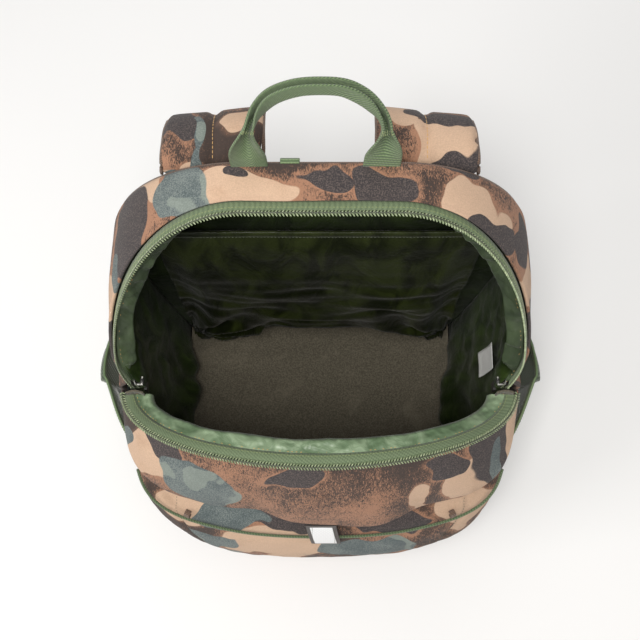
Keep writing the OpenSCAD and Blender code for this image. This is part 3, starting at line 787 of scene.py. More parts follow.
def frontRim(angle, inset, rise=0.0):
    a = math.radians(angle)
    return Vector(((body["rimHalf"] - inset) * math.cos(a),
                   body["sideFrontY"] - (body["rimReach"] - inset) * math.sin(a), rimHeight(angle) + rise))


def archOutline(depth, low, steps=26):
    # outline of the body from low on the right side over the top to low on the left, as (x, z)
    side = [(halfWidth(z) - depth, z) for z in [mix(low, body["wideZ"], i / steps) for i in range(steps)]]
    across, up = body["wideHalf"] - body["topHalf"] - depth, body["height"] - body["wideZ"] - depth
    arc = [(body["topHalf"] + across * math.cos(a), body["wideZ"] + up * math.sin(a))
           for a in [math.pi / 2 * i / 30 for i in range(31)]]
    half = side + arc
    middle = [(body["topHalf"] * (1 - i / 7), half[-1][1]) for i in range(1, 14)]
    return half + middle + [(-x, z) for x, z in reversed(half)]


foldLine = ("pack", "front_flap", (0, -0.137, 0.190), (0, -0.105, 0.262))


# outer shell: base, back panel, sides and top, and the slack front

shell = {"thickness": 2.2, "puff": 2.2, "seamCord": 2.0, "edgeRoll": 0.7}


def clothWaves(x, y, z, amount, size=55.0, seed=0.0):
    return amount * (wobble(x, y, z, size, seed) + 0.45 * wobble(x, y, z, size * 0.42, seed + 3))


def buildSides():
    outline = archOutline(0, 3)
    rows = []
    count = 44
    for i, (x, z) in enumerate(outline):
        before, after = outline[max(i - 1, 0)], outline[min(i + 1, len(outline) - 1)]
        out = Vector((after[1] - before[1], 0, -(after[0] - before[0]))).normalized()
        out = -out if out.dot(Vector((x, 0, z - 180))) < 0 else out
        front = body["sideFrontY"] if z < body["endZ"] else rimY(z) + 5.5
        turned = rimIn(z) if z > body["endZ"] else 0.0
        row = []
        for j in range(count + 1):
            f = j / count
            y = mix(front, body["backY"] - 2, f)
            lift = shell["puff"] * math.sin(math.pi * f) ** 0.7 * (0.4 + 0.6 * smooth((z - 20) / 120))
            lift += clothWaves(x, y, z, 1.6, 60) * math.sin(math.pi * clamp(f * 1.04)) ** 0.5
            lift += shell["edgeRoll"] * (1 - smooth(f * 9)) - 1.6 * smooth((f - 0.93) / 0.07)
            inward = turned * (1 - smooth(f * 2.2))
            row.append(Vector((x - math.copysign(inward, x), y, z)) + out * lift)
        rows.append(row)
    obj = clothPiece("sidesAndTop", rows, camo, shell["thickness"], "pack",
                     ("side_panel_left", "side_panel_right", "top_gusset"), None, -1, True)
    stitchLine = [row[2] * 0.6 + row[3] * 0.4 for row in rows if row[0].z > body["endZ"] + 6]
    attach(sewOn("sidesAndTopStitches", obj, stitchLine, darkThread, "fineStitch", 2.6), "pack")
    seam = [row[-1] + Vector((0, 1.0, 0)) for row in rows]
    cordObj = tubePiece("backSeamPiping", seam, roundSection(shell["seamCord"], 8), camoBinding,
                        Vector((0, 1, 0)))
    finish(cordObj, "pack", ())


def plateRows(outline, centre, faceY, crown, count):
    # rows from the edge to the middle of an outline, crowned along Y
    rows = []
    for i in range(count + 1):
        f = i / count
        row = []
        for x, z in outline:
            px, pz = mix(x, centre[0], f), mix(z, centre[1], f)
            row.append(Vector((px, faceY + crown * smooth(f * 3.0), pz)))
        rows.append(row)
    return rows


def buildBack():
    outline = archOutline(1.5, 5) + [(-x, 5) for x in (100, 60, 20, -20, -60, -100)]
    rear = plateRows(outline, (0, 190), body["backY"] - 1.2, 1.4, 26)
    face = plateRows(outline, (0, 190), body["wallBackY"] + 0.4, -0.2, 4)
    for row in rear:
        for p in row:
            p.y += 0.35 * wobble(p.x, p.y, p.z, 40, 2)
    obj = grid("backPanel", list(reversed(face)) + rear, camo, ring=True)
    modify(obj, "WELD", merge_threshold=0.00001)
    finish(obj, "pack", ("back_panel",))


def buildBase():
    plan = [Vector((body["baseHalf"], 80, 0)), Vector((body["baseHalf"], -33, 0))]
    plan += [planPoint(a, 135, 65, -33, 0) for a in range(6, 175, 4)]
    plan += [Vector((-body["baseHalf"], -33, 0)), Vector((-body["baseHalf"], 80, 0))]
    plan += [Vector((x, 80, 0)) for x in range(-120, 121, 30)]
    centre = Vector((0, 10, 0))
    rows = []
    for scale, z in ((0.0, 0.4), (0.5, 0.25), (0.93, 0.0), (0.985, 0.5), (1.0, 2.0), (0.995, 4.2),
                     (0.96, 5.0)):
        rows.append([centre + (p - centre) * scale + Vector((0, 0, z)) for p in plan])
    obj = grid("basePanel", rows, floorCloth, ring=True, flip=True)
    modify(obj, "WELD", merge_threshold=0.00001)
    finish(obj, "pack", ("base_panel",))
    binding = [p + Vector((0, 0, 4.4)) for p in plan[:len(plan) - 9]]
    cordObj = tubePiece("baseSeamPiping", binding, roundSection(1.7, 8), webbing, Vector((0, 0, 1)))
    finish(cordObj, "pack", ())


slack = {"centreX": 16, "overhang": 92, "overhangMore": 11.5, "foldZ": 188}


def frontKeys(angle):
    # places down the slack front at one angle of the mouth, from the rim to the base
    def ring(half, reach, square, z):
        return planPoint(angle, half, reach, body["sideFrontY"], z, square)
    top = rimHeight(angle)
    side = abs(math.cos(math.radians(angle)))
    over = slack["foldZ"] + 9 * side
    x = ring(158, 92, 3.3, over).x
    reach = slack["overhang"] + slack["overhangMore"] * (1 - smooth((abs(x - slack["centreX"]) - 30) / 40))
    return [ring(158.5, 67.5, 2, top), ring(159.5, mix(67, reach, 0.42) + 2, 2.4, mix(top, over, 0.30)),
            ring(159.5, mix(67, reach, 0.78) + 2, 2.8, mix(top, over, 0.62)),
            ring(158.5, reach, 3.2, over + 7), ring(158, reach - 1, 3.2, over - 4),
            ring(156, reach - 9, 3.1, over - 12), ring(154, 84, 3.0, over - 24),
            ring(halfWidth(135) - 1, 86, 2.8, 135), ring(halfWidth(90) - 1, frontReach(90) - 3, 2.7, 90),
            ring(halfWidth(45) - 1, frontReach(45) - 1, 2.7, 45), ring(halfWidth(4), frontReach(4), 2.7, 4)]


def frontPlace(angle, t):
    return throughPoints(frontKeys(angle), t)


def buildFront():
    angles = [180 * i / 150 for i in range(151)]
    rows = []
    for j in range(71):
        t = j / 70
        row = []
        for a in angles:
            p = frontPlace(a, t)
            across = frontPlace(min(a + 0.7, 180), t) - frontPlace(max(a - 0.7, 0), t)
            down = frontPlace(a, min(t + 0.008, 1)) - frontPlace(a, max(t - 0.008, 0))
            out = across.cross(down).normalized()
            out = -out if out.dot(Vector((p.x, p.y + 40, 0))) < 0 else out
            free = smooth(t * 9) * (1 - smooth((t - 0.8) * 6)) * math.sin(math.radians(a)) ** 0.35
            # slack folds run down and outwards from the middle of the rim, and lie level above the pocket
            slant = wobble(p.x * 1.0 + p.z * 0.35 * math.copysign(1, p.x), p.y * 0.5, p.z * 0.35, 26, 5)
            level = wobble(p.x * 0.22, 0, p.z * 1.0, 15, 9) * smooth((t - 0.22) * 8)
            broad = wobble(p.x, p.y, p.z, 70, 4)
            small = wobble(p.x, p.y, p.z, 9, 6)
            p = p + out * free * (1.9 * slant + 1.4 * level + 2.2 * broad + 0.35 * small)
            row.append(p)
        rows.append(row)
    clothPiece("slackFront", rows, camo, 1.4, None, ("front_panel", "front_flap"), foldLine,
               -1, True)


# front pocket with its darts, hem, bungee and light loop

pocket = {
    "y": -60, "low": 6.5, "top": 177, "fullZ": 100, "reach": 98, "thickness": 1.6, "wider": 7, "square": 2.9,
}


def pocketReach(z):
    if z > pocket["fullZ"]:
        return pocket["reach"] - 17 * ((z - pocket["fullZ"]) / 50) ** 2
    return pocket["reach"] - 57 * ((pocket["fullZ"] - z) / 92) ** 2


def pocketPlace(angle, z, inset=0.0):
    inset += 8 * smooth((16 - min(angle, 180 - angle)) / 13)
    inset += smooth((z - 152) / 26) * (8 + 9 * abs(math.cos(math.radians(angle))))
    return planPoint(angle, halfWidth(z) + pocket["wider"] - inset, pocketReach(z) - inset, pocket["y"], z,
                     pocket["square"])


def dartAngle(n, z):  # the darts run down and towards the middle
    lean = mix(22, 47, clamp((z - 55) / 110))
    return 90 - lean if n == 0 else 90 + lean


def buildPocket():
    angles = [3 + 174 * i / 150 for i in range(151)]
    rows = []
    for j in range(49):
        z = mix(pocket["low"], pocket["top"], j / 48)
        row = []
        for a in angles:
            p = pocketPlace(a, z)
            out = (p - Vector((p.x * 0.35, -20, z))).normalized()
            edge = smooth((a - 3) / 12) * smooth((177 - a) / 12) * (1 - smooth((z - 160) / 15))
            dart = min(abs(a - dartAngle(n, z)) for n in (0, 1))
            lift = 2.0 * wobble(p.x, p.y, p.z, 48, 11) + 1.3 * wobble(p.x * 0.5, p.y, p.z * 1.6, 22, 12)
            lift += 0.5 * wobble(p.x, p.y, p.z, 10, 13)
            lift -= 2.6 * math.exp(-(dart / 1.6) ** 2) * smooth((z - 40) / 60)
            puff = 1.5 * math.sin(math.pi * clamp((z - 40) / 115))
            row.append(p + out * edge * (lift * (0.35 + 0.65 * smooth((z - 8) / 40)) + puff))
        rows.append(row)
    obj = clothPiece("frontPocket", rows, camo, pocket["thickness"], "pack", ("front_pocket",),
                     None, 1)
    for i in (0, 1):
        line = []
        for j in range(14, 46):
            angle = dartAngle(i, mix(pocket["low"], pocket["top"], j / 48))
            line.append(rows[j][round((angle - 3) / 174 * 150) + (2 if i == 0 else -2)])
        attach(sewOn(f"pocketDartStitches{i + 1}", obj, line, darkThread, "fineStitch", 2.8), "pack")
    hemRows = [[p + Vector((0, 2.0, -1.0)) for p in row] for row in rows[-4:]]
    clothPiece("pocketHem", hemRows, webbing, 1.4, "pack", ("pocket_hem",), None, -1)
    return obj


bungee = {
    "radius": 1.3,
    "half": [(150, -93, 186), (147, -104, 177), (140, -115, 168), (128, -124, 162), (112, -131, 157),
             (90, -137, 154), (64, -142, 152), (38, -144.5, 151), (13, -145.5, 150)],
}


def buildBungee(pocketObj):
    half = [Vector(p) for p in bungee["half"]]
    path = half + [Vector((-p.x, p.y, p.z)) for p in reversed(half)]
    path = spreadPath(path, 120)
    tree = surfaceOf(pocketObj)
    held = []
    for p in path:  # the cord stays just in front of the pocket's cloth
        place, normal, index, far = tree.find_nearest(p * mm)
        inside = (p * mm - place).dot(normal) / mm
        push = max(0.0, bungee["radius"] + 0.3 - inside)
        held.append(p + Vector((0, -push, 0)) if push < 8 else p)
    for i in range(4):
        eased = [(held[k - 1] + held[k] * 2 + held[k + 1]) / 4 for k in range(1, len(held) - 1)]
        held = [held[0], *eased, held[-1]]
    obj = tubePiece("bungeeCord", held, roundSection(bungee["radius"], 10), braid, Vector((0, 0, 1)))
    finish(obj, "pack", ("bungee_cord",))
    pieces = []
    for s in (-1, 1):
        for k, (at, yaw) in enumerate((((149.5, -88.5, 190), 60), ((112, -129, 158.5), 25))):
            turn = math.radians(yaw * s)
            side = Vector((math.cos(turn), math.sin(turn), 0))
            back = Vector((-side.y, side.x, 0))
            centre = Vector((at[0] * s, at[1], at[2]))
            loop = [centre + back * (2.6 + 3.2 * math.cos(q)) + Vector((0, 0, 4.2 * math.sin(q)))
                    for q in [math.radians(40 + 280 * n / 20) for n in range(21)]]
            pieces.append(tubePiece(f"bungeeLoop{s}{k}", loop, flatSection(5, 0.9, 0.3), camoBinding, side))
    for n, piece in enumerate(pieces):
        piece.name = f"bungeeLoop{n + 1}"
        finish(piece, "pack", ("bungee_loops",) if n == 0 else ())


lightLoop = {"at": (3, -143.4, 161), "tilt": -17.8, "width": 25, "length": 40, "patch": (18.5, 35)}


def buildLightLoop():
    tilt = math.radians(lightLoop["tilt"])
    up = Vector((0, -math.sin(tilt), math.cos(tilt)))
    out = Vector((0, -math.cos(tilt), -math.sin(tilt)))
    centre = Vector(lightLoop["at"])

    def strip(name, x0, x1, half, lift, thick, material, bow, rows=14, columns=8):
        made = []
        for i in range(rows + 1):
            f = i / rows * 2 - 1
            row = []
            for j in range(columns + 1):
                x = mix(x0, x1, j / columns)
                row.append(centre + Vector((x, 0, 0)) + up * (f * half) + out * (lift + bow * (1 - f * f)))
            made.append([p + Vector((-0.12 * half * f, 0, 0)) for p in row])
        obj = grid(name, made, material)
        thicken(obj, thick, 1.0)
        modify(obj, "BEVEL", width=0.25 * mm, segments=2)
        return obj

    w, h = lightLoop["width"] / 2, lightLoop["length"] / 2
    tab = strip("lightLoop", -w, w, h, 0.0, 1.2, darkWebbing, 1.2)
    finish(tab, "pack", ("light_loop",))
    pw, ph = lightLoop["patch"][0] / 2, lightLoop["patch"][1] / 2
    patch = strip("blankPatch", -pw, pw, ph, 1.5, 0.5, film, 1.0)
    finish(patch, "pack", ("reflective_patch",))
    for n, s in enumerate((-1, 1)):
        line = [centre + Vector((s * (pw + 0.2), 0, 0)) + up * f * ph + out * 3
                for f in (-1, -0.5, 0, 0.5, 1)]
        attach(sewOn(f"patchStitches{n + 1}", patch, line, darkThread, "fineStitch", 2.4), "pack")


buildSides()
buildBack()
buildBase()
buildFront()
frontPocket = buildPocket()
buildBungee(frontPocket)
buildLightLoop()
print("outer shell made")


# rims of the mouth: zip tapes, zip teeth and the satin bands behind them

zipper = {"low": 246, "tapeWidth": 8.5, "pitch": 2.3, "slant": 0.62, "bandRear": 13, "bandFront": 16}


def rearRim(depth, offset):
    return [Vector((x - math.copysign(rimIn(z), x), rimY(z) + offset, z))
            for x, z in archOutline(depth, zipper["low"], 14)]


def outwardOf(path, centre):
    # outward directions of a path that goes round a centre
    outs = []
    for i, p in enumerate(path):
        t = path[min(i + 1, len(path) - 1)] - path[max(i - 1, 0)]
        away = p - Vector(centre)
        outs.append((away - t * (away.dot(t) / t.length_squared)).normalized())
    return outs


def teeth(name, path, outs, width, rider):
    # two rows of slanted half teeth, which meet as chevrons
    for n, s in enumerate((-1, 1)):
        line = []
        for i, p in enumerate(path):
            t = (path[min(i + 1, len(path) - 1)] - path[max(i - 1, 0)]).normalized()
            line.append(p + t.cross(outs[i]) * (s * width / 2))
        obj = repeat(f"{name}{n + 1}", line, outs, "toothShort", zipper["pitch"], zipCoil,
                     s * (math.pi / 2 - zipper["slant"]))
        obj.data.shade_smooth()
        keepPlaces(obj)
        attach(obj, rider)
        if n == 0:
            core = tubePiece(f"{name}Core", path, roundSection(0.8, 6), darkThread, outs[len(outs) // 2])
            finish(core, rider, (f"zip_coil_{'back' if rider == 'pack' else 'front'}",))


def buildRearRim():
    rows = [spreadPath([p + Vector((0, off, 0)) for p in rearRim(depth, 0)], 260)
            for off, depth in ((0.2, 1.3), (1.8, 0.9), (3.6, 0.7), (5.4, 0.9), (7.4, 1.6))]
    tape = clothPiece("zipTapeRear", [[row[i] for row in rows] for i in range(260)], zipTape, 0.8, "pack",
                      ("zip_tape_back",))
    path = spreadPath(rearRim(1.3, -1.6), 300)
    teeth("zipTeethRear", path, outwardOf(path, (0, 0, 200)), 2.7, "pack")
    for k, offset in enumerate((1.9, 4.3)):
        line = spreadPath(rearRim(0.8, offset), 200)
        thread = (greenThread, darkThread)[k]
        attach(sewOn(f"tapeStitchesRear{k + 1}", tape, line, thread, "fineStitch", 2.3), "pack")

    count = 320
    edge = spreadPath(rearRim(2.6, 0.6), count)
    outs = outwardOf(edge, (0, 0, 200))
    made = []
    for j in range(13):
        f = j / 12
        row = []
        for i, p in enumerate(edge):
            gapShare = math.exp(-((p.x - 6) / 34) ** 4) if p.z > 380 else 0
            length = zipper["bandRear"] * (1 - 0.9 * gapShare) * (0.15 + 0.85 * smooth((p.z - 252) / 14))
            length *= 1 + 0.22 * wobble(p.x, p.z, 0, 34, 21)
            ripple = 2.4 * wobble(p.x * 1.3, p.z * 1.3, f * 6, 11, 22)
            ripple += 1.4 * wobble(p.x, p.z, f * 10, 5.5, 23)
            flat = Vector((outs[i].x, 0, outs[i].z)).normalized()
            back = 1.5 + 4.5 * f + ripple * smooth(f * 2.2) + 9 * gapShare * f
            row.append(p - flat * length * f + Vector((0, back, 0)))
        made.append(row)
    band = clothPiece("satinBandRear", made, rearSatinPaintedShade, 0.5, "pack", ("lining_band_back",))
    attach(sewOn("bandStitchesRear", band, made[2], goldThread, "fineStitch", 4.4, 0.5), "pack")


def frontLine(inset, rise, count=260, start=4.0):
    return [frontRim(mix(start, 180 - start, i / (count - 1)), inset, rise) for i in range(count)]


def buildFrontRim():
    profile = ((2.6, 1.9), (4.6, 2.6), (7.0, 2.7), (9.2, 2.3), (11.2, 1.4))
    lines = [frontLine(inset, rise) for inset, rise in profile]
    for line in lines:
        for p in line:
            p.z += 0.35 * wobble(p.x, p.y, 0, 24, 31)
    tape = clothPiece("zipTapeFront", [[line[i] for line in lines] for i in range(260)], zipTape, 0.8,
                      "front_flap", ("zip_tape_front",))
    path = frontLine(0.9, 2.3, 300, 3.0)
    outs = [Vector((0.45 * math.cos(math.radians(a)), -0.45 * math.sin(math.radians(a)), 1)).normalized()
            for a in [mix(3, 177, i / 299) for i in range(300)]]
    teeth("zipTeethFront", path, outs, 2.7, "front_flap")
    count = 360
    made = []
    for j in range(15):
        f = j / 14
        row = []
        for i in range(count):
            a = mix(4, 176, i / (count - 1))
            wide = zipper["bandFront"] * min(f, 0.85) * (1 + 0.1 * wobble(a, 0, 0, 14, 33))
            p = frontRim(a, 10.0 + wide, 0)
            ripple = 1.7 * wobble(p.x, p.y, f * 5, 9, 34) + 0.9 * wobble(p.x, p.y, f * 8, 4.2, 35)
            drop = 3.8 * f + 9 * smooth((f - 0.7) / 0.3)
            p.z += 1.6 - drop + ripple * smooth(f * 2.5)
            row.append(p)
        made.append(row)
    band = clothPiece("satinBandFront", made, bandSatin, 0.5, "front_flap", ("lining_band_front",))
    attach(sewOn("bandStitchesFront", band, made[2], goldThread, "fineStitch", 3.4, 0.4), "front_flap")
    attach(sewOn("tapeStitchesFront", tape, lines[3], greenThread, "fineStitch", 2.3), "front_flap")


# lining: loose sheets that sag inside the shell

lining = {"depth": 4.2, "floorZ": 7.4, "sleeveY": 64, "sleeveHalf": 124, "sleeveTop": 330, "hem": 9}


def buildSideLining():
    outline = archOutline(lining["depth"], 8, 30)
    rows = []
    for x, z in outline:
        row = []
        for j in range(37):
            f = j / 36
            front = max(body["sideFrontY"] - 1, rimY(z) + 3)
            y = mix(front, 75.2, f)
            loose = smooth((z - 8) / 30) * (1 - smooth((z - 236) / 60))
            loose *= math.sin(math.pi * clamp(f * 0.9 + 0.08))
            fall = 7.5 * (0.5 + 0.5 * wobble(y * 1.2, z * 0.35, x, 26, 41))
            fall += 3.0 * wobble(y, z * 0.6, x, 11, 42)
            inward = loose * max(fall, -2.0) + 0.7 * wobble(y, z, x, 12, 43)
            sag = 15 * math.exp(-((z - 32) / 26) ** 2) * smooth(1.5 - f * 1.5)
            inward += sag * max(0.15, 0.75 + 0.7 * wobble(y, z * 0.5, x, 26, 44))  # it piles up at the floor
            turned = rimIn(z) * (1 - smooth(f * 2.0)) if z > body["endZ"] else 0
            toward = Vector((-math.copysign(1, x), 0, -0.1)) if z < 300 else Vector((0, 0, -1))
            row.append(Vector((x - math.copysign(turned, x), y, z)) + toward * max(inward, -0.4))
        rows.append(row)
    obj = clothPiece("liningSides", rows, satin, 0.5, "pack", ("lining_left", "lining_right"))


def buildFrontLining():
    rows = []
    for j in range(46):
        t = j / 45
        row = []
        for i in range(111):
            a = mix(3, 177, i / 110)
            p = frontPlace(a, mix(0.0, 0.985, t))
            inset = 9 * (1 - smooth(t * 3)) + 5
            loose = smooth((t - 0.1) * 4) * (1 - smooth((t - 0.75) * 5))
            inset += loose * (6 + 5 * wobble(p.x, p.z * 0.4, 0, 26, 51) + 2.5 * wobble(p.x, p.z, 0, 10, 52))
            inset += 9 * math.exp(-((t - 0.35) / 0.16) ** 2)
            away = Vector((p.x, p.y - 20, 0))
            p = p - away.normalized() * inset
            p.z = p.z - 9 * (1 - smooth(t * 4)) + 4 * smooth((t - 0.9) * 10)
            row.append(p)
        rows.append(row)
    obj = clothPiece("liningFront", rows, satin, 0.5, None, ("lining_front",), foldLine)


def radialFolds(x, z, corner, count, seed):
    dx, dz = x - corner[0], z - corner[1]
    far = math.hypot(dx, dz)
    angle = math.atan2(dz, abs(dx) + 1e-6)
    wave = math.sin(angle * count + 2.2 * wobble(far, angle * 40, 0, 60, seed))
    return wave * math.exp(-far / 95) * smooth(far / 18)


def sleeveFront(x, z):
    # place of the loose sleeve along Y at a height, in front of the back wall
    f = clamp((z - 10) / 310)
    side = 1 - smooth((abs(x) - 96) / 28)
    sag = 5 + 13 * math.sin(math.pi * f) ** 0.8 * side
    folds = 7.5 * radialFolds(x, z, (-128, 60), 13, 61) + 7.0 * radialFolds(x, z, (128, 46), 12, 62)
    cross = 3.4 * wobble(x * 0.35, z * 1.5 + x * 0.12, 0, 22, 63) * (1 - smooth((z - 190) / 80))
    broad = 4.0 * wobble(x, z, 0, 95, 64)
    keep = 1 - smooth((z - 290) / 30)
    return lining["sleeveY"] + 4 - max(1.0, sag + (folds + cross) * keep + broad * keep)


def sleeveLow(x):
    arch = smooth((x + 88) / 46) * (1 - smooth((x - 62) / 60))
    return 13 + 76 * arch + 5 * wobble(x, 0, 0, 28, 65)


def buildSleeve():
    half, top = lining["sleeveHalf"], lining["sleeveTop"]
    rows = []
    for j in range(91):
        row = []
        for i in range(101):
            x = mix(-half, half, i / 100)
            z = mix(sleeveLow(x), top - lining["hem"], j / 90)
            row.append(Vector((x, sleeveFront(x, z), z)))
        rows.append(row)
    obj = grid("innerSleeve", rows, sleeveSatinPaintedShade)
    thicken(obj, 0.6, 0)
    hemRows = []
    for k, dz in enumerate((0, 1.5, 4.5, 7.5, 9)):
        swell = (0.3, 1.1, 1.3, 1.1, 0.4)[k]
        hemRows.append([p + Vector((0, -swell, dz + 1.5 * wobble(p.x, 0, 0, 60, 66))) for p in rows[-1]])
    hem = grid("sleeveHem", hemRows, sleeveSatinPaintedShade)
    thicken(hem, 2.2, 0)
    finish(obj, "pack", ("inner_sleeve",))
    finish(hem, "pack", ("sleeve_hem",))
    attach(sewOn("sleeveHemStitches", hem, hemRows[1], darkThread, "fineStitch", 2.6), "pack")

    outline = archOutline(4.5, 8, 20)
    wall = plateRows(outline + [(-x, 8) for x in (90, 45, 0, -45, -90)], (0, 190), 75.3, -1.2, 10)
    for row in wall:
        for p in row:
            p.y -= 0.9 * max(0, wobble(p.x, p.z, 0, 30, 67))
    backing = grid("backLining", wall, satin, flip=True, ring=True)
    finish(backing, "pack", ())


def buildFloorLining():
    rows = []
    for j in range(61):
        v = j / 60
        row = []
        for i in range(61):
            u = i / 60 * 2 - 1
            y = mix(75, -98, v)
            half = 130.5
            if y < -33:
                reach = clamp((-33 - y) / 65.5)
                half = 130.5 * max(0.0, 1 - reach ** 2.7) ** (1 / 2.7)
            x = u * max(half, 30)
            crease = 1.5 * wobble(x * 1.6, y * 0.5, 0, 30, 71) + 0.9 * wobble(x, y, 0, 14, 72)
            edge = 0.90 + 0.05 * wobble(y, u * 9, 0, 28, 73)
            lift = 9 * smooth((abs(u) - edge) / 0.10) + 6 * smooth((v - 0.95) / 0.05)
            row.append(Vector((x, y, lining["floorZ"] + crease + 1.4 + lift)))
        rows.append(row)
    obj = clothPiece("floorLining", rows, floorCloth, 0.8, "pack", ("floor_lining",))


def buildLabel():
    rows = []
    for j in range(25):
        f = j / 24
        row = []
        for i in range(9):
            y = mix(-12, 10, i / 8)
            z = mix(206, 158, f)
            curl = 4.0 * f * f + 1.6 * wobble(y, z, 0, 18, 81) * f
            row.append(Vector((142.5 - curl, y + 2 * f, z)))
        rows.append(row)
    clothPiece("careLabel", rows, labelSatin, 0.35, "pack", ("care_label",))


def buildGarages():
    for name, s in (("Left", -1), ("Right", 1)):
        rows = []
        for j in range(13):
            f = j / 12
            row = []
            for i in range(9):
                x = mix(140.8, 154.5, i / 8)
                z = mix(204, 232, f)
                y = -37.5 + 1.6 * math.sin(math.pi * i / 8) + 0.8 * wobble(x, z, s, 9, 82)
                row.append(Vector((s * x, y, z)))
            rows.append(row)
        obj = grid(f"zipGarage{name}", rows, floorCloth, flip=s < 0)
        thicken(obj, 1.6, 0)
        modify(obj, "BEVEL", width=0.4 * mm, segments=2)
        finish(obj, "pack", (f"zip_garage_{name.lower()}",))


# mesh side pockets with their hems and reflective tabs

sidePocket = {"low": 10, "top": 170, "front": -68, "rear": 58, "bulge": 33, "hem": 9}


def sidePlace(f, z, lift=0.0):
    full = math.sin(math.pi * clamp(f)) ** 0.8 if 0 < f < 1 else 0.0
    bulge = 3 + sidePocket["bulge"] * clamp(z / 158) ** 1.4 - 8 * smooth((z - 160) / 14)
    y = mix(sidePocket["front"], sidePocket["rear"], f)
    return Vector((halfWidth(z) + 0.8 + lift + bulge * full, y, z))


def buildSidePockets():
    for name, s in (("Left", -1), ("Right", 1)):
        def placed(f, z, lift=0.0):
            p = sidePlace(f, z, lift)
            if f < 0.42:  # the forward seam runs on the rounded front corner
                p.x = min(p.x, halfWidth(z) + 1.6 + lift + 48 * f ** 0.75)
            p.x += 1.3 * wobble(p.y, z, s * 9, 30, 91) * math.sin(math.pi * clamp(f))
            return Vector((s * p.x, p.y, p.z))
        rows = [[placed(i / 48, mix(sidePocket["low"], sidePocket["top"], j / 40), 0.6) for i in range(49)]
                for j in range(41)]
        obj = clothPiece(f"sideMesh{name}", rows, openMesh, 0.8, "pack", (f"side_pocket_{name.lower()}",),
                         flip=s < 0)
        top = sidePocket["top"]
        hemRows = [[placed(i / 48, top + up, 0.5 + swell) for i in range(49)]
                   for up, swell in ((0, 0.2), (1.2, 0.8), (4.5, 1.0), (7.8, 0.8), (9, 0.2))]
        hem = clothPiece(f"sideHem{name}", hemRows, webbing, 1.6, "pack", (f"side_hem_{name.lower()}",),
                         flip=s < 0)
        tab = grid(f"sideTab{name}", [[placed(mix(0.63, 0.78, i / 6), top + up, 2.9) for i in range(7)]
                                      for up in (1, 3.3, 5.6, 8)], film, flip=s < 0)
        thicken(tab, 0.5, 0)
        modify(tab, "BEVEL", width=0.15 * mm, segments=2)
        finish(tab, "pack", (f"side_tab_{name.lower()}",))
        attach(sewOn(f"sideHemStitches{name}", hem, [placed(i / 48, top + 7.2, 2.2) for i in range(1, 48)],
                      darkThread, "fineStitch", 2.6), "pack")
        loopAt = Vector((s * (halfWidth(228) + 1.0), 22, 228))
        loop = [loopAt + Vector((s * (2.4 + 3.4 * math.cos(q)), 0, 7 * math.sin(q)))
                for q in [math.radians(-130 + 260 * n / 16) for n in range(17)]]
        cordObj = tubePiece(f"sideLoop{name}", loop, flatSection(6, 1.1, 0.3), darkWebbing, Vector((0, 1, 0)))
        finish(cordObj, "pack", ())


buildRearRim()
buildFrontRim()
buildSideLining()
buildFrontLining()
buildSleeve()
buildFloorLining()
buildLabel()
buildGarages()
buildSidePockets()
print("rims, lining and side pockets made")


# padded pieces: shoulder straps and back pads, swollen by cloth simulation

stuffing = {"voxel": 5.0, "pressure": 4.0, "frames": 20}


def inflate(obj, cap):
    # swells a closed shape as stuffed cloth does; no point moves further than cap, in mm
    settle(modify(obj, "WELD", merge_threshold=0.00001))
    settle(modify(obj, "REMESH", mode="VOXEL", voxel_size=stuffing["voxel"] * mm))
    start = [v.co.copy() for v in obj.data.vertices]
    modify(obj, "CLOTH")
    cloth = obj.modifiers[-1]
    cloth.settings.use_pressure = True
    cloth.settings.uniform_pressure_force = stuffing["pressure"]
    cloth.settings.effector_weights.gravity = 0
    cloth.settings.tension_stiffness = 12
    cloth.settings.bending_stiffness = 0.3
    for step in range(1, stuffing["frames"] + 1):
        bpy.context.scene.frame_set(step)
    settle(obj)
    for v, before in zip(obj.data.vertices, start):
        move = v.co - before
        if move.length > cap * mm:
            v.co = before + move * (cap * mm / move.length)
    bpy.context.scene.frame_set(1)
    modify(obj, "SUBSURF", levels=1, render_levels=1)
    return settle(obj)


strap = {
    "line": [(70, 87.5, 372), (69, 92, 384), (69, 102, 388), (70, 114, 386), (71, 126, 379), (72.5, 135, 366),
             (75, 142, 349), (77, 147, 327), (81, 148, 303), (86, 146, 274), (91, 143, 242), (96, 139, 212),
             (100, 134, 184), (103, 129, 158)],
    "width": 70, "thickness": 8.5, "swell": 3.0, "groove": 0.62, "lean": 16, "outward": 5.0, "tailFrom": 0.70,
}


def strapPath(count=90):
    points = spreadPath(strap["line"], count)
    return [p + Vector((strap["outward"] * (1 - smooth(i / count * 1.6)), 0, 0))
            for i, p in enumerate(points)]


def strapAcross(i, count=90):
    lean = math.radians(strap["lean"]) * (1 - smooth(i / count * 1.5)) * smooth(i / 9)
    return Vector((math.cos(lean), -math.sin(lean), 0))


def strapWidth(i, count=90):
    return mix(strap["width"], strap["width"] - 30, smooth((i / (count - 1) - strap["tailFrom"]) / 0.36))


def strapFrame(path, i):
    t = (path[min(i + 1, len(path) - 1)] - path[max(i - 1, 0)]).normalized()
    side = strapAcross(i)
    side = (side - t * side.dot(t)).normalized()
    return path[i], side, t.cross(side)


def strapPlace(path, i, sideways, outward):
    p, side, out = strapFrame(path, i)
    return p + side * sideways + out * outward


def padSection(width, thickness, sides=20):
    shape = []
    for k in range(sides):
        a = 2 * math.pi * (k + 0.5) / sides
        shape.append((math.copysign(width / 2 - thickness / 2, math.cos(a)) + thickness / 2 * math.cos(a),
                      thickness / 2 * math.sin(a)))
    return shape


def mirrored(obj, name):
    mesh = obj.data.copy()
    for v in mesh.vertices:
        v.co.x = -v.co.x
    mesh.flip_normals()
    twin = bpy.data.objects.new(name, mesh)
    bpy.context.scene.collection.objects.link(twin)
    return twin


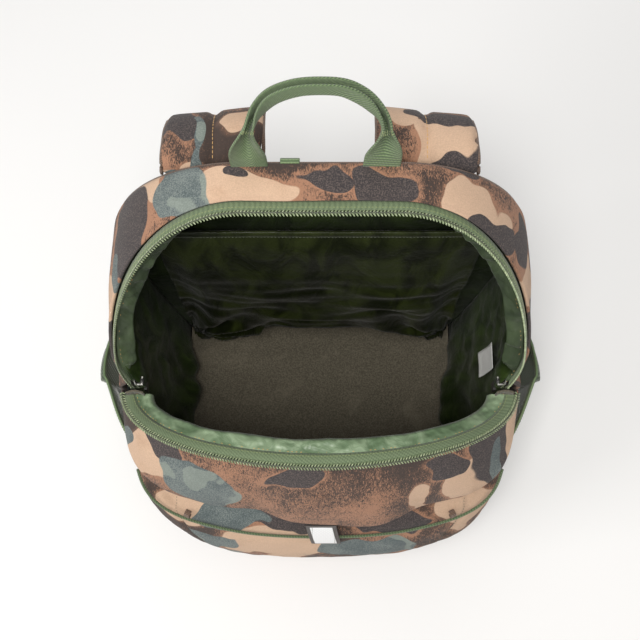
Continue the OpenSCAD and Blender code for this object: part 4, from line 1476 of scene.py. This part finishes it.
def buildStraps():
    path = strapPath()
    count = len(path)
    obj = tubePiece("strapRight", path, lambda i: padSection(strapWidth(i) - 5, strap["thickness"]), camo,
                    strapAcross)
    inflate(obj, strap["swell"])
    frames = [strapFrame(path, i) for i in range(count)]
    near = [min(range(count), key=lambda i: (frames[i][0] - v.co / mm).length_squared)
            for v in obj.data.vertices]
    widest = [1.0] * count
    for v, i in zip(obj.data.vertices, near):
        widest[i] = max(widest[i], abs((v.co / mm - frames[i][0]).dot(frames[i][1])))
    widest = [max(widest[max(i - 2, 0):i + 3]) for i in range(count)]
    for v, i in zip(obj.data.vertices, near):  # back to the full width, then the groove and flat edges
        at, (p, side, out) = v.co / mm, frames[i]
        a, b = (at - p).dot(side), (at - p).dot(out)
        wide = a * strapWidth(i) / 2 / widest[i]
        pinch = strap["groove"] * math.exp(-(wide / 3.4) ** 2)
        pinch += 0.45 * smooth((abs(wide) - strapWidth(i) / 2 + 5) / 5)
        soft = 0.5 * wobble(at.x, at.y, at.z, 24, 101) * (1 if b > 0 else -1)
        v.co = (p + (at - p - side * a - out * b) + side * wide + out * (b * (1 - pinch) + soft)) * mm
    left = mirrored(obj, "strapLeft")
    for piece, name in ((obj, "right"), (left, "left")):
        finish(piece, f"strap_{name}", (f"shoulder_strap_{name}",))
        s = 1 if name == "right" else -1
        for n, side in enumerate((-1, 1)):
            edge = [strapPlace(path, i, side * (strapWidth(i) / 2 - 0.4), 0) for i in range(1, count - 1)]
            edge = [Vector((s * p.x, p.y, p.z)) for p in edge]
            binding = tubePiece(f"strapBinding{name.title()}{n + 1}", edge, roundSection(1.3, 8), camoBinding,
                                Vector((0, 0.7, 0.7)))
            finish(binding, f"strap_{name}", ())
        for face in (1, -1):
            tree, line, outs = surfaceOf(piece), [], []
            for i in range(3 if face > 0 else 10, count - 3):
                high, low = strapPlace(path, i, 0.0, face * 20), strapPlace(path, i, 0.0, 0)
                high, low = Vector((s * high.x, high.y, high.z)), Vector((s * low.x, low.y, low.z))
                place = tree.ray_cast(high * mm, low - high)[0]
                if place is not None:
                    outs.append((high - low).normalized())
                    line.append(place / mm + outs[-1] * 0.2)
            label = f"strapStitches{name.title()}{'Outer' if face > 0 else 'Inner'}"
            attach(repeat(label, line, outs, "stitch", 3.2, goldThread, 0.0, 0.1), f"strap_{name}")


pads = {"swell": 3.5, "thickness": 6.0, "faceY": 84.4}


def padOutline(kind):
    if kind == "lumbar":
        corners = [(-92, 26), (92, 26), (98, 40), (98, 88), (92, 100), (-92, 100), (-98, 88), (-98, 40)]
    else:
        corners = [(14, 110), (82, 110), (92, 122), (92, 328), (78, 346), (14, 346)]
    return corners


def buildPads():
    for name, kind, s in (("Lumbar", "lumbar", 1), ("Left", "side", -1), ("Right", "side", 1)):
        corners = [(s * x, z) for x, z in padOutline(kind)]
        centre = (sum(x for x, z in corners) / len(corners), sum(z for x, z in corners) / len(corners))
        shrink = [(mix(x, centre[0], 0.05), mix(z, centre[1], 0.03)) for x, z in corners]
        points = [Vector((x, y, z)) for y in (pads["faceY"] + 0.6, pads["faceY"] + pads["thickness"])
                  for x, z in shrink]
        n = len(corners)
        faces = [tuple(range(n)), tuple(n + k for k in range(n - 1, -1, -1))]
        faces += [(k, n + k, n + (k + 1) % n, (k + 1) % n) for k in range(n)]
        obj = newPiece(f"backPad{name}", points, [face[::-1] for face in faces] if s > 0 else faces, airMesh)
        inflate(obj, pads["swell"])
        low, high = min(z for x, z in corners), max(z for x, z in corners)
        for v in obj.data.vertices:  # sewn channels across the pad, and a flat side against the panel
            at = v.co / mm
            if at.y > pads["faceY"] + 2:
                channel = min(abs(at.z - mix(low, high, k / 4)) for k in (1, 2, 3)) if kind != "lumbar" else \
                    min(abs(at.x - x) for x in (-36, 36))
                at.y -= 2.6 * math.exp(-(channel / 3.2) ** 2)
            at.y = max(at.y, pads["faceY"])
            v.co = at * mm
        finish(obj, "pack", ("back_pad",) if name == "Lumbar" else ())
        rim = [Vector((x, pads["faceY"] + 1.2, z)) for x, z in corners]
        ring = []
        for k in range(n):
            for q in range(8):
                ring.append(rim[k].lerp(rim[(k + 1) % n], q / 8))
        for _ in range(6):
            ring = [(ring[k - 1] + ring[k] * 2 + ring[(k + 1) % len(ring)]) / 4 for k in range(len(ring))]
        binding = tubePiece(f"backPadBinding{name}", ring + [ring[0], ring[1]], flatSection(5, 2.0, 0.6),
                            webbing, Vector((0, 1, 0)), False)
        finish(binding, "pack", ())
        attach(sewOn(f"backPadStitches{name}", binding, [p + Vector((0, 3, 0)) for p in ring], darkThread,
                      "fineStitch", 2.8), "pack")


# haul handle: flat webbing that is folded along its middle for the grip

handle = {
    "at": (0, 80, 406.5), "lean": 15, "height": 76, "width": 24.5, "thickness": 1.5, "fold": 170, "turn": 85,
    "line": [(40.5, 0), (42, 18), (42.5, 30), (41.5, 40), (38.5, 49), (33, 58), (25, 67.5), (14, 74.5),
             (0, 76), (-14, 74.5), (-27, 68.5), (-35, 59.5), (-41, 48), (-46, 36), (-47.5, 24), (-47.5, 12),
             (-46.5, 0)],
}


def foldedSection(fold, width, thickness):
    # outline of webbing folded along its middle by an angle in degrees
    turn, steps, radius = math.radians(fold) / 2, 9, 1.9
    bendLength = max(radius * turn, 0.01)
    half = []
    x = y = 0.0
    piece = width / 2 / steps
    for k in range(steps + 1):
        angle = turn * clamp(k * piece / bendLength)
        half.append((x, y, angle))
        angle = turn * clamp((k + 0.5) * piece / bendLength)
        x, y = x + piece * math.cos(angle), y - piece * math.sin(angle)
    line = [(-x, y, -angle) for x, y, angle in reversed(half[1:])] + half
    shift = sum(y for x, y, angle in line) / len(line)
    over = [(x + thickness / 2 * math.sin(a), y - shift + thickness / 2 * math.cos(a)) for x, y, a in line]
    under = [(x - thickness / 2 * math.sin(a), y - shift - thickness / 2 * math.cos(a)) for x, y, a in line]
    return over + under[::-1]


def buildHandle():
    lean = math.radians(handle["lean"])
    up = Vector((0, math.sin(lean), math.cos(lean)))
    normal = Vector((0, math.cos(lean), -math.sin(lean)))
    path = spreadPath([Vector(handle["at"]) + Vector((x, 0, 0)) + up * y for x, y in handle["line"]], 140)
    heights = [(p - Vector(handle["at"])).dot(up) / handle["height"] for p in path]

    def across(i):
        t = (path[min(i + 1, 139)] - path[max(i - 1, 0)]).normalized()
        turn = math.radians(handle["turn"]) * smooth((heights[i] - 0.42) / 0.55)
        return normal.cross(t) * math.cos(turn) + normal * math.sin(turn)

    def section(i):
        fold = handle["fold"] * clamp((heights[i] - 0.12) / 0.42) ** 0.9
        return foldedSection(fold, handle["width"], handle["thickness"])

    obj = tubePiece("haulHandle", path, section, webbing, across)
    finish(obj, "handle", ("haul_handle",))
    tree = surfaceOf(obj)
    for n, s in enumerate((-1, 1)):
        for k, share in enumerate((0.50, 0.535)):
            i = min(range(0, 70) if s > 0 else range(70, 140), key=lambda q: abs(heights[q] - share))
            bar = [path[i] + Vector((x, -6, 3)) for x in [mix(-4, 4, q / 8) for q in range(9)]]
            place, outs = onSurface(tree, bar, 0.1)
            tack = repeat(f"handleTack{n + 1}{k + 1}", place, outs, "stitch", 1.3, greenThread, 1.57, 0.2)
            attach(tack, "handle")


# lower strap webbing, tabs, anchors, yoke and the chest strap

harness = {
    "webbing": [(104, 123, 141), (105, 118.6, 116), (107, 113, 92), (109, 106, 68), (111, 97, 50),
                (112, 91, 38), (112, 89.5, 26)],
    "tail": [(104, 129.5, 141), (104, 131, 132), (105, 130, 112), (106, 127, 92), (107, 125, 78)],
    "tab": [(103.5, 129, 166), (104, 130.6, 156), (104, 130.2, 148), (104, 128.4, 143.6), (104, 126.4, 147),
            (104, 126, 155)],
    "rail": [(78, 153.2, 325), (81, 155.0, 306), (86, 153.6, 274), (89, 151.4, 252)],
    "width": 20,
}


def buildHarness():
    for name, s in (("left", -1), ("right", 1)):
        title = name.title()

        def flip(points):
            return [Vector((s * x, y, z)) for x, y, z in points]

        path = spreadPath(flip(harness["webbing"]), 70)
        path = [p + Vector((0.5 * wobble(p.z, 0, s, 30, 111), 0, 0)) for p in path]
        belt = tubePiece(f"lowerWebbing{title}", path, flatSection(harness["width"], 1.6, 0.5), webbing,
                          Vector((1, 0, 0)))
        finish(belt, None, (f"strap_webbing_{name}",),
               ("pack", f"strap_{name}", (s * 0.112, 0.0895, 0.030), (s * 0.104, 0.123, 0.139)))
        tail = spreadPath(flip(harness["tail"]), 30)
        strapWebbing(f"webbingTail{title}", tail, harness["width"], 1.5, f"lock_{name}")
        tabPath = spreadPath(flip(harness["tab"]), 30)
        strapWebbing(f"strapTab{title}", tabPath, harness["width"], 1.4, f"strap_{name}",
                     (f"strap_tab_{name}",), 0.4)
        strapWebbing(f"chestRail{title}", spreadPath(flip(harness["rail"]), 40), 10, 1.0, f"strap_{name}",
                     (f"sternum_rail_{name}",), 0.3)
        low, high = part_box(f"sternum_webbing_{name}")
        x, y = (low.x + high.x) / 2 / mm, (low.y + high.y) / 2 / mm
        strip = [Vector((x, y + 0.5 * math.sin(q / 29 * 5), mix(high.z, low.z, q / 29) / mm))
                 for q in range(30)]
        strapWebbing(f"chestWebbing{title}", strip, 15.5, 1.4, f"chest_{name}",
                     (f"sternum_webbing_{name}",), 0.4)
        corners = flip([(130, 86.5, 8), (132, 86.5, 44), (122, 86.5, 44), (101, 86.5, 33), (100.5, 86.5, 22)])
        rows = [[corners[0].lerp(corners[1], f).lerp(corners[4].lerp(corners[2].lerp(corners[3], 0.5), f), g)
                 + Vector((0, 1.2 * math.sin(math.pi * g) * math.sin(math.pi * f), 0))
                 for g in [q / 12 for q in range(13)]] for f in [q / 12 for q in range(13)]]
        wing = grid(f"anchorWing{title}", rows, camo, flip=s > 0)
        thicken(wing, 2.6, 0)
        modify(wing, "BEVEL", width=0.8 * mm, segments=3)
        finish(wing, "pack", (f"anchor_wing_{name}",))
        upper, lower = corners[3], corners[4]
        nearTop, farLow = upper + Vector((s * 2, 0, 3)), lower + Vector((s * 16, 0, -4))
        box = [nearTop, lower + Vector((s * 2, 0, 1)), farLow, upper + Vector((s * 16, 0, 6)), nearTop,
               farLow]
        line = spreadPath([p + Vector((0, 4, 0)) for p in box], 60)
        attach(sewOn(f"anchorStitches{title}", wing, line, darkThread, "fineStitch", 2.4), "pack")
    yokePath = [Vector((mix(-98, 98, q / 60), 85.4, 377)) for q in range(61)]
    strapWebbing("strapYoke", yokePath, 10, 2.2, "pack", ("strap_yoke",), 0.6, (0, 0, 1))
    hang = [Vector((-20, 84 + 3.0 * math.cos(q), 402.5 + 4.0 * math.sin(q)))
            for q in [math.radians(-60 + 300 * k / 18) for k in range(19)]]
    strapWebbing("topTab", hang, 13, 1.4, "pack", (), 0.4)


hardParts = {
    "platedZinc": ("zip_slider_left", "zip_slider_right"),
    "blackPlastic": ("zip_pull_left", "zip_pull_right", "ladder_lock_left", "ladder_lock_right",
                     "sternum_slider_left", "sternum_slider_right", "sternum_buckle_male",
                     "sternum_buckle_female"),
}


def dressHardParts():
    finishes = {"platedZinc": platedZinc, "blackPlastic": blackPlastic}
    for finishName, names in hardParts.items():
        for name in names:
            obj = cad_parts[name]
            obj.data.materials.clear()
            obj.data.materials.append(finishes[finishName])
            modify(obj, "WELD", merge_threshold=0.00001)
            modify(obj, "BEVEL", width=0.35 * mm, segments=2, limit_method="ANGLE")


buildStraps()
buildPads()
buildHandle()
buildHarness()
dressHardParts()
print("straps, pads, handle and buckles made")


def buildFloor():
    bpy.ops.mesh.primitive_plane_add(size=8)
    floor = bpy.context.object
    floor.name = "studioFloor"
    floor.data.materials.append(studioFloorMaterial())


buildFloor()
